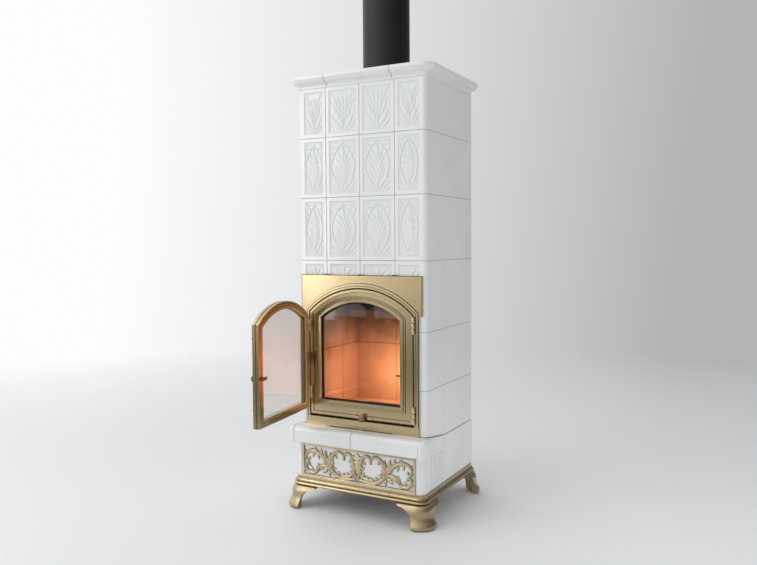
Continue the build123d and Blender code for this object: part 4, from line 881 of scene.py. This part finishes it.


# painted shade: dark lines along the corners of the surround's and door's mouldings, and in the gap round the
# door
# half-width, lower end, radius of the arch and lift of each line
surround_lines = ((245, 388, 346, 8.05), (253, 388, 354, 8.05), (263.6, 388, 364.6, 8.05))
door_lines = (
    (226.4, 410.6, 327.4, 7.05), (206.6, 441.4, 309.6, 7.05), (199.6, 448.4, 302.6, 10.05),
    (185.4, 462.6, 288.4, 6.0), (239.8, 397.3, 340.8, 9.5),
)
shells = []
for *arch, lift in surround_lines:
    shells += moved([thin_line(arch_line(*arch))], 0, 0, lift)
piece("painted_shade_surround", shells, on_door, "painted_shade_lines", "stove")
shells = []
for *arch, lift in door_lines:
    shells += moved(outline_lines(*arch), 0, 0, lift)
piece("painted_shade_door", shells, on_door, "painted_shade_lines", "door")

# painted shade: dark lines round the header plate's edges
header_corners = [
    (-header_edge, header_low), (-header_edge, header_high),
    (header_edge, header_high), (header_edge, header_low),
]
shells = [thin_line(straight(*pair)) for pair in zip(header_corners, header_corners[1:])]
piece("painted_shade_header", moved(shells, 0, 0, header_lift), on_door, "painted_shade_lines", "stove")

# painted shade: a dark strip filling the air slot under the surround
sill_middle = shelf_top + sill_gap / 2
sill_path = straight((-sill_half, sill_middle), (sill_half, sill_middle))
shells = moved([thin_line(sill_path, sill_gap - 0.1)], 0, 0, sill_lift)
piece("painted_shade_sill_slot", shells, on_door, "painted_shade_lines", "stove")


def base_line(reach, low, high, steps=10):
    """Thin strip round the whole base at one height: the base's rounded rectangle offset by reach, and by
    reach + 0.5, at two heights."""
    rings = []
    front, back = base_radius - base_advance, body_depth - base_radius
    for offset, z in ((reach, low), (reach + 0.5, low + 0.15), (reach + 0.5, high - 0.15), (reach, high)):
        ring = []
        for turn, x, depth in ((0, 1, back), (90, -1, back), (180, -1, front), (270, 1, front)):
            angles = np.radians(np.linspace(turn, turn + 90, steps))
            bend = np.column_stack([np.cos(angles), np.sin(angles)]) * (base_radius + offset)
            ring.append(bend + (x * (base_half - base_radius), depth))
        ring = np.concatenate(ring)
        rings.append(np.column_stack([ring, np.full(len(ring), z)]))
    points = np.stack(rings, axis=1).reshape(-1, 3)
    return points, turned_back(band_faces(4 * steps, 4, closed=True)), np.zeros(len(points))


# painted shade: dark lines in the hollows of the plinth moulding
shells = [base_line(9, 110.2, 112.4), base_line(8.8, 114.4, 115.8), base_line(4, 127, 128.2)]
piece("painted_shade_plinth", shells, on_front, "painted_shade_lines", "stove")

leaf_half, leaf_rise = (leaf_far - leaf_near) / 2, leaf_peak - leaf_spring
leaf_radius = (leaf_half**2 + leaf_rise**2) / (2 * leaf_rise)
leaf_centre = leaf_peak - leaf_radius
leaf_middle = (leaf_far + leaf_near) / 2


def leaf_lines(inset, height, side):
    """Lines round the leaf at one inset; side is 1 on its outer face and -1 on its back."""
    sides = leaf_half - inset, leaf_bottom + inset, leaf_radius - inset
    return outline_lines(*sides, leaf_line_width, height, centre=leaf_centre, middle=side * leaf_middle)


def rim_line(corners):
    """Thin band round the leaf: its outline drawn at four corners, each an inset and a depth."""
    rings = []
    for inset, depth in corners:
        line = arch_line(leaf_half - inset, leaf_bottom, leaf_radius - inset, leaf_centre, leaf_middle)
        rings.append(np.column_stack([line, np.full(len(line), depth)]))
    points = np.stack(rings, axis=1).reshape(-1, 3)
    return points, band_faces(len(rings[0]), 4) + ends(len(points), 4), np.zeros(len(points))


# painted shade: dark lines in the corners of the leaf's mouldings, on both faces
shells = moved(leaf_lines(7.75, 0.13, -1) + leaf_lines(16.75, 0.13, -1), 0, 0, -1)
piece("painted_shade_leaf_back", shells, on_leaf_back, "painted_shade_lines", "leaf")
shells = moved(leaf_lines(9, 0.3, 1) + leaf_lines(21, 0.3, 1), 0, 0, 25.05)
piece("painted_shade_leaf_face", shells, on_leaf, "painted_shade_lines", "leaf")
# painted shade: a dark band along the leaf's edge, and one on its reveal, which lies in shadow
edge_band = rim_line(((-0.25, 13), (-0.25, 16.4), (0.6, 16.4), (0.6, 13)))
reveal_band = rim_line(((30.3, 24.6), (30.3, 9.4), (29.4, 9.4), (29.4, 24.6)))
piece("painted_shade_leaf_rim", [edge_band, reveal_band], on_leaf, "painted_shade_lines", "leaf")

# dark seal that shows round the door's glass
shells = moved(outline_lines(181.6, 466.4, 284.6, 6.6, 1.2), 0, 0, -1.65)
piece("glass_edge_seal", shells, on_door, "black_rubber", "door")


# -------------------- turned knobs
def turned(profile, around=28):
    """Solid of revolution: (radius, height) pairs turned about the height axis, with a point at its crown."""
    turn = np.linspace(0, 2 * math.pi, around, endpoint=False)
    rows = profile[:-1]
    points = [(r * math.cos(a), r * math.sin(a), h) for r, h in rows for a in turn] + [(0, 0, profile[-1][1])]
    last = (len(rows) - 1) * around
    foot = ends(last + around, around)[:1]
    crown = [[last + step, last + (step + 1) % around, len(points) - 1] for step in range(around)]
    return np.array(points), band_faces(len(rows), around) + foot + crown, np.ones(len(points))


knob_profile = [
    (4.6, 0.4), (6.2, 0.5), (6.6, 1.4), (5.2, 2.4), (5.4, 3.4), (10.5, 4.2), (13.6, 5.0), (15.2, 6.8),
    (15.8, 9.2), (15.2, 11.8), (13.4, 14.2), (10.4, 16.0), (6.6, 17.2), (2.8, 17.8), (0, 17.9),
]
latch_profile = [(0.76 * radius, 0.1 + 0.74 * height) for radius, height in knob_profile]
stud_profile = [
    (4.0, -0.2), (4.0, 2.7), (6.3, 2.85), (6.8, 4.2), (6.9, 6.4), (6.75, 8.6), (6.2, 9.3), (4.6, 10.2),
    (2.4, 10.7), (0, 10.8),
]
shells = moved([turned(knob_profile)], *slide_knob)
piece("turned_slide_knob", shells, on_door, "aged_bronze", "air_slide")
shells = moved([turned(latch_profile)], leaf_stile, latch_height, leaf_face)
piece("turned_latch_knob", shells, on_leaf, "aged_bronze", "leaf_latch")
shells = [moved([turned(stud_profile, 20)], leaf_stile, height, leaf_face)[0] for height in stud_heights]
piece("turned_leaf_studs", shells, on_leaf, "carved_brass", "leaf", relief_kept=True)


# -------------------- sleeves on the knuckles of the door's hinges: a brighter brass paints the barrels' highlight, dark grooves paint the shade between knuckles
def sleeve(low, high, around=32):
    """Closed tube round the upright axis, (radius, height) pairs turned about it, with a groove at each end;
    relief 0 in the grooves."""
    rows = (
        (5.3, low), (5.56, low), (5.6, low + 1.1), (6.0, low + 1.5),
        (6.0, high - 1.5), (5.6, high - 1.1), (5.56, high), (5.3, high),
    )
    turn = np.linspace(0, 2 * math.pi, around, endpoint=False)
    points = np.array([(r * math.cos(a), z, r * math.sin(a)) for a in turn for r, z in rows])
    faces = turned_back(band_faces(around, len(rows), closed=True))
    # relief 0 in the end grooves paints shade between the knuckles
    return points, faces, np.tile([0, 0, 0, 1, 1, 0, 0, 0], around)


for name, body, spans in (
    ("sleeves_surround", "stove", ((-1.5, -0.5), (0.5, 1.5))),
    ("sleeves_door", "door", ((-0.48, 0.48),)),
):
    shells = [
        sleeve(z + low * knuckle + knuckle_gap, z + high * knuckle - knuckle_gap)
        for z in hinge_heights for low, high in spans
    ]
    piece(name, moved(shells, hinge_x, 0, hinge_advance), on_door, "carved_brass", body, relief_kept=True)


# -------------------- stage, light and camera
def pale_floor():
    """Matt pale ground that thins out with distance, so it meets the wall without a line."""
    values = {"Roughness": 0.5, "Base Color": (0.90, 0.905, 0.91, 1), "Specular IOR Level": 0.08}
    made = material("pale_floor", values)
    tree = made.node_tree
    place = add_node(tree, "TexCoord")
    reach = add_node(tree, "VectorMath", {0: place.outputs["Object"]}, operation="LENGTH")
    far = remap(tree, reach.outputs["Value"], 1.1, 5.0, 0, 1)
    clear = add_node(tree, "BsdfTransparent")
    mixed = add_node(tree, "MixShader", {0: far, 1: principled(made).outputs[0], 2: clear.outputs[0]})
    tree.links.new(mixed.outputs[0], tree.nodes["Material Output"].inputs["Surface"])
    return made


def sheet(name, x, y, height, made):
    """Level rectangle, in metres."""
    mesh = bpy.data.meshes.new(name)
    corners = [(x[0], y[0], height), (x[1], y[0], height), (x[1], y[1], height), (x[0], y[1], height)]
    mesh.from_pydata(corners, [], [(0, 1, 2, 3)])
    mesh.materials.append(made)
    return new_object(name, mesh)


def hide(made, *rays):
    """Hides an object from some kinds of ray."""
    for ray in rays:
        setattr(made, "visible_" + ray, False)


def pale_towards(tree, direction, low, high, dark, bright):
    """Colour that brightens towards a direction."""
    place = add_node(tree, "TexCoord")
    inputs = {0: place.outputs["Generated"], 1: direction}
    facing = add_node(tree, "VectorMath", inputs, operation="DOT_PRODUCT")
    return blend_colours(tree, remap(tree, facing.outputs["Value"], low, high, 0, 1), dark, bright)


def world_light():
    """Pale studio: brighter towards the front left, plain pale wall where the camera looks. Mirrors see another
    one, with more contrast."""
    world = bpy.data.worlds.new("studio")
    bpy.context.scene.world = world
    world.use_nodes = True
    tree = world.node_tree
    ground = tree.nodes["Background"]
    seen_room = pale_towards(tree, (-0.9, -0.25, 0.1), -0.15, 0.5, (0.44, 0.45, 0.46), (0.97, 0.98, 0.99))
    dark, bright = (0.16, 0.16, 0.165), (1.12, 1.13, 1.14)
    mirrored_room = pale_towards(tree, (-0.72, -0.35, 0.5), -0.45, 0.8, dark, bright)
    ray = add_node(tree, "LightPath")
    colour = blend_colours(tree, ray.outputs["Is Glossy Ray"], seen_room, mirrored_room)
    tree.links.new(colour, ground.inputs["Color"])
    ground.inputs["Strength"].default_value = 1.0


def lamp(name, kind, place, power, colour=(1, 1, 1), **settings):
    """Lamp at a place, in metres."""
    light = bpy.data.lights.new(name, kind)
    light.energy = power
    light.color = colour
    for label, value in settings.items():
        setattr(light, label, value)
    holder = new_object(name, light)
    holder.location = place
    return holder


def area(name, place, aim, size, power, colour=(1, 1, 1)):
    """Soft rectangular lamp aimed at a point."""
    holder = lamp(name, "AREA", place, power, colour, shape="RECTANGLE", size=size[0], size_y=size[1])
    holder.rotation_euler = Vector(np.subtract(aim, place)).to_track_quat("-Z", "Y").to_euler()
    return holder


floor = sheet("floor", (-30, 30), (-30, 30), 0, pale_floor())
world_light()
area("window_left", (-2.5, -2.5, 1.5), (0, 0, 1.0), (1.7, 2.6), 8)
area("window_gleam", (-1.95, -2.65, 1.6), (0, 0, 1.3), (0.35, 2.3), 5.5)
area("ceiling_left", (-1.6, -1.8, 3.6), (-1.2, -1.2, 0), (3.0, 2.4), 21)
side_fill = area("side_fill", (3.2, -0.4, 1.1), (0, 0.1, 1.1), (1.6, 1.8), 15)
hide(side_fill, "glossy", "camera")
# only mirrors see it: the fire's copper tone on the open leaf
gleam_y = front_y * MM - 0.02
gleam_aim = (-0.09, gleam_y - 1, 0.63)
fire_gleam = area("fire_gleam", (-0.09, gleam_y, 0.63), gleam_aim, (0.3, 0.46), 0.13, (1.0, 0.42, 0.16))
hide(fire_gleam, "camera", "diffuse")
# lights the firebox, but isn't seen or mirrored
ember_place = (0.02, front_y * MM + 0.17, 0.55)
ember_glow = lamp("ember_glow", "POINT", ember_place, 2.3, (1.0, 0.84, 0.64), shadow_soft_size=0.08)
hide(ember_glow, "camera", "glossy", "transmission")
# only mirrors see it: a dark ground in front
card_paint = material("dark_card", {"Roughness": 0.8, "Base Color": (0.10, 0.09, 0.08, 1)})
dark_card = sheet("dark_card", (-5, 0.3), (-7, -1.9), 0.01, card_paint)
hide(dark_card, "camera", "diffuse")


def photo_camera():
    """Camera at the photograph's place, from the fit of its tile joints: yaw, pitch and roll in degrees."""
    yaw, pitch, roll = (math.radians(angle) for angle in (28.527, 3.113, -0.395))
    focal_length, picture_width, sensor_width = 744.9, 757, 36  # two in pixels, the sensor in mm
    forward = np.array([-math.sin(yaw) * math.cos(pitch), math.cos(yaw) * math.cos(pitch), -math.sin(pitch)])
    right = np.array([math.cos(yaw), math.sin(yaw), 0.0])
    up = np.cross(right, forward)
    rolled_right = math.cos(roll) * right + math.sin(roll) * up
    rolled_up = -math.sin(roll) * right + math.cos(roll) * up
    lens = bpy.data.cameras.new("photo_view")
    lens.lens = focal_length / picture_width * sensor_width
    lens.sensor_width = sensor_width
    matrix = np.eye(4)
    matrix[:3, :3] = np.stack([rolled_right, rolled_up, -forward], axis=1)
    matrix[:3, 3] = (1.5083, (front_y - 2619.7) * MM, 1.1196)
    camera = new_object("photo_view", lens)
    camera.matrix_world = Matrix(matrix.tolist())
    bpy.context.scene.camera = camera


photo_camera()
bpy.context.scene.view_settings.view_transform = "Standard"
